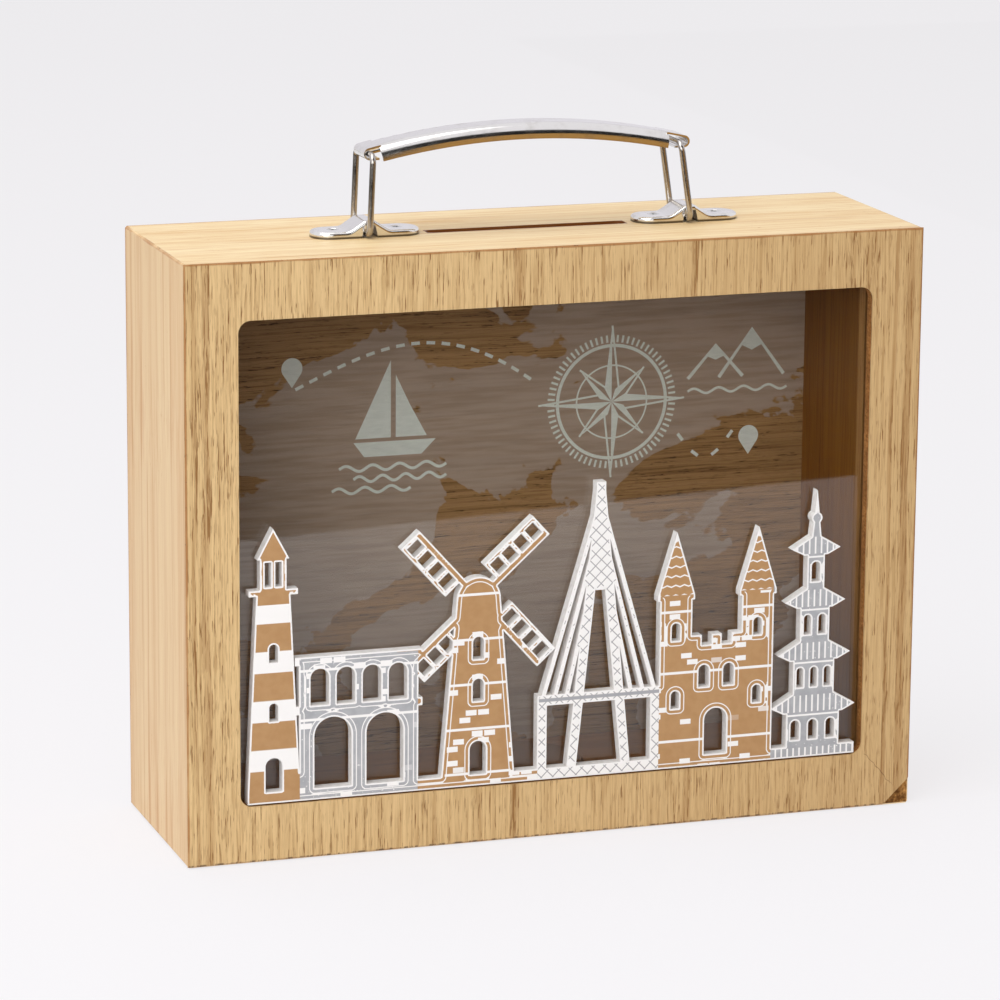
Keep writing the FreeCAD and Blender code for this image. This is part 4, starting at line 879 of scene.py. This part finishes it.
# %% [markdown]
# ## The photographer's table
# The box stands on a white table. The floor is a plain white surface that keeps the shadow;
# seen from below it is clear, so the base can be looked at. Bright metal and the pane only
# look like themselves when there is something to mirror, so dark cards lie and stand where
# the studio was dark, a pale one stands behind, and a warm strip in front gives the grip its
# golden band. Only mirroring surfaces see these cards.

# %% Floor and cards
def quad(name, corners, finish):
    """A flat piece of the studio, which isn't part of the object."""
    mesh = bpy.data.meshes.new(name)
    mesh.from_pydata(corners, [], [(0, 1, 2, 3)])
    mesh.materials.append(finish)
    made = bpy.data.objects.new(name, mesh)
    bpy.context.scene.collection.objects.link(made)
    return made


def seen_directly(tree):
    """1 for what the camera sees, also mirrored or through the pane."""
    path = put(tree, "ShaderNodeLightPath").outputs
    return calc(tree, "MAXIMUM", path["Is Camera Ray"],
                calc(tree, "MAXIMUM", path["Is Glossy Ray"], path["Is Transmission Ray"]))


WHITE_SHARE, FLOOR_REACH, FLOOR_DROP = 0.78, 8.0, -0.0002
table_white, tree, shader, place = material("table_white", Roughness=0.7, Specular_IOR_Level=0.2)
wire(tree, shader, Base_Color=blend(tree, cloud(tree, place, 3.0), rgb(247, 246, 249),
                                    rgb(244, 243, 247)))
bright = put(tree, "ShaderNodeEmission", {"Color": (0.925, 0.912, 0.932, 1.0), "Strength": 1.0})
paper = put(tree, "ShaderNodeMixShader", {0: times(tree, seen_directly(tree), WHITE_SHARE),
                                          1: shader.outputs[0], 2: bright.outputs[0]})
one_sided = put(tree, "ShaderNodeMixShader", {
    0: put(tree, "ShaderNodeNewGeometry").outputs["Backfacing"], 1: paper.outputs[0],
    2: put(tree, "ShaderNodeBsdfTransparent").outputs[0]})
tree.links.new(one_sided.outputs[0], tree.nodes["Material Output"].inputs["Surface"])
quad("table_top", [(x * FLOOR_REACH, y * FLOOR_REACH, FLOOR_DROP)
                   for x, y in ((-1, -1), (1, -1), (1, 1), (-1, 1))], table_white)

studio_dark, tree, shader, place = material("studio_dark", Roughness=1.0, Specular_IOR_Level=0.0)
wire(tree, shader, Base_Color=blend(tree, cloud(tree, place, 2.0), (0.02, 0.019, 0.018, 1.0),
                                    (0.045, 0.042, 0.04, 1.0)))
TABLE_END = (Vector((0.0068, -0.3583)), Vector((0.2426, -0.3920)))
TABLE_SIDE, CARD_LIFT, FAR, BACK_END = 0.5, 0.001, 3.0, 1.5
way = (TABLE_END[1] - TABLE_END[0]).normalized()
left = TABLE_END[0] - way * (TABLE_END[0].x + TABLE_SIDE) / way.x
right = TABLE_END[0] + way * (TABLE_SIDE - TABLE_END[0].x) / way.x


def lying_card(name, points):
    """A dark card on the table, given by the x and y of its corners."""
    return quad(name, [(px, py, CARD_LIFT) for px, py in points], studio_dark)


def upright_card(name, start_x, end_x, foot, head, finish):
    """A card between two x, from its foot to its head, each given as y and z."""
    return quad(name, [(start_x, *foot), (end_x, *foot), (end_x, *head), (start_x, *head)], finish)


studio_grey, tree, shader, place = material("studio_grey", Roughness=1.0, Specular_IOR_Level=0.0,
                                            Base_Color=(0.0, 0.0, 0.0, 1.0), Emission_Strength=1.0)
wire(tree, shader, Emission_Color=blend(tree, cloud(tree, place, 1.5), (0.76, 0.74, 0.79, 1.0),
                                        (0.82, 0.8, 0.85, 1.0)))
warm_card, tree, shader, place = material("warm_wood_card", Roughness=0.9, Specular_IOR_Level=0.0,
                                          Base_Color=(0.0, 0.0, 0.0, 1.0), Emission_Strength=0.75)
planks = cloud(tree, stretch(tree, place, (4.0, 4.0, 60.0)), 1.0)
wire(tree, shader, Emission_Color=blend(tree, planks, rgb(222, 172, 98),
                                        rgb(176, 126, 66)))
cards = [
    lying_card("dark_before_table", [left, (left.x, -FAR), (right.x, -FAR), right]),
    lying_card("dark_left_of_table", [(-FAR, BACK_END), (-FAR, -FAR), (-TABLE_SIDE, -FAR),
                                      (-TABLE_SIDE, BACK_END)]),
    lying_card("dark_right_of_table", [(TABLE_SIDE, BACK_END), (TABLE_SIDE, -FAR), (FAR, -FAR),
                                       (FAR, BACK_END)]),
    upright_card("dark_above_camera", -1.6, 1.8, (-1.9, 0.0), (-1.5, 2.1), studio_dark),
    upright_card("grey_behind", 1.8, -1.2, (1.6, 0.15), (1.6, 1.25), studio_grey),
    upright_card("warm_strip", 0.045, 0.6, (-0.33, 0.085), (-0.33, 0.3), warm_card)]
for card in cards:
    card.visible_camera = False
    card.visible_diffuse = False
    card.visible_shadow = False
print("cards:", [card.name for card in cards])

# %% [markdown]
# ## Light
# A pale world lights everything evenly. Two big soft lamps, above and to the upper left, give
# the top and the left side their brightness, and two in front light the window frame. For the
# camera, and for what metal and glass mirror, the world is nearly white.

# %% World and lamps
scene = bpy.context.scene
world = bpy.data.worlds.new("white_studio")
scene.world = world
world.use_nodes = True
tree = world.node_tree
soft = put(tree, "ShaderNodeBackground", {"Color": (1.0, 0.985, 0.97, 1.0), "Strength": 0.5})
shown = put(tree, "ShaderNodeBackground", {"Color": (0.9, 0.885, 0.92, 1.0), "Strength": 1.0})
world_mix = put(tree, "ShaderNodeMixShader", {0: seen_directly(tree), 1: soft.outputs[0],
                                              2: shown.outputs[0]})
tree.links.new(world_mix.outputs[0], tree.nodes["World Output"].inputs["Surface"])
AIM = Vector((0.0, 0.0, 0.08))


def lamp(name, place, size, watts):
    """A square soft lamp, turned towards the middle of the box."""
    light = bpy.data.lights.new(name, "AREA")
    light.shape = "SQUARE"
    light.size = size
    light.energy = watts
    made = bpy.data.objects.new(name, light)
    scene.collection.objects.link(made)
    made.location = place
    made.rotation_euler = (AIM - Vector(place)).to_track_quat("-Z", "Y").to_euler()


lamp("upper_left_softbox", (-0.65, -0.4, 1.2), 0.9, 6.6)
lamp("overhead_softbox", (-0.2, 0.1, 1.5), 0.9, 4.6)
lamp("front_left_softbox", (-0.62, -0.8, 0.45), 0.55, 2.7)
lamp("softbox_by_camera", (-0.3, -1.5, 0.55), 0.8, 3.0)

# %% [markdown]
# ## Camera
# The camera was fitted to the corners of the box in the photograph: a long lens, a little
# above the box and to its left. Its axes are written out from the fitted angles.

# %% Camera
AZIMUTH, ELEVATION, ROLL = (math.radians(a) for a in (-18.54, 13.08, 0.44))
FOCAL_PIXELS, IMAGE_PIXELS, SENSOR, CLIP_END = 4678.4, 1000.0, 36.0, 50.0
CAMERA_PLACE = Vector((-0.3893, -1.1415, 0.3639))
back_axis = Vector((math.sin(AZIMUTH) * math.cos(ELEVATION), -math.cos(AZIMUTH) * math.cos(ELEVATION),
                    math.sin(ELEVATION)))
level = Vector((math.cos(AZIMUTH), math.sin(AZIMUTH), 0.0))
rise = back_axis.cross(level)
right_axis = level * math.cos(ROLL) + rise * math.sin(ROLL)
up_axis = rise * math.cos(ROLL) - level * math.sin(ROLL)
camera = bpy.data.objects.new("camera", bpy.data.cameras.new("camera"))
scene.collection.objects.link(camera)
camera.data.sensor_width = SENSOR
camera.data.lens = FOCAL_PIXELS * SENSOR / IMAGE_PIXELS
camera.data.clip_end = CLIP_END
axes = Matrix((right_axis, up_axis, back_axis)).transposed()
camera.matrix_world = Matrix.Translation(CAMERA_PLACE) @ axes.to_4x4()
scene.camera = camera
scene.view_settings.view_transform = "Standard"
print("lens:", round(camera.data.lens, 1), "mm")
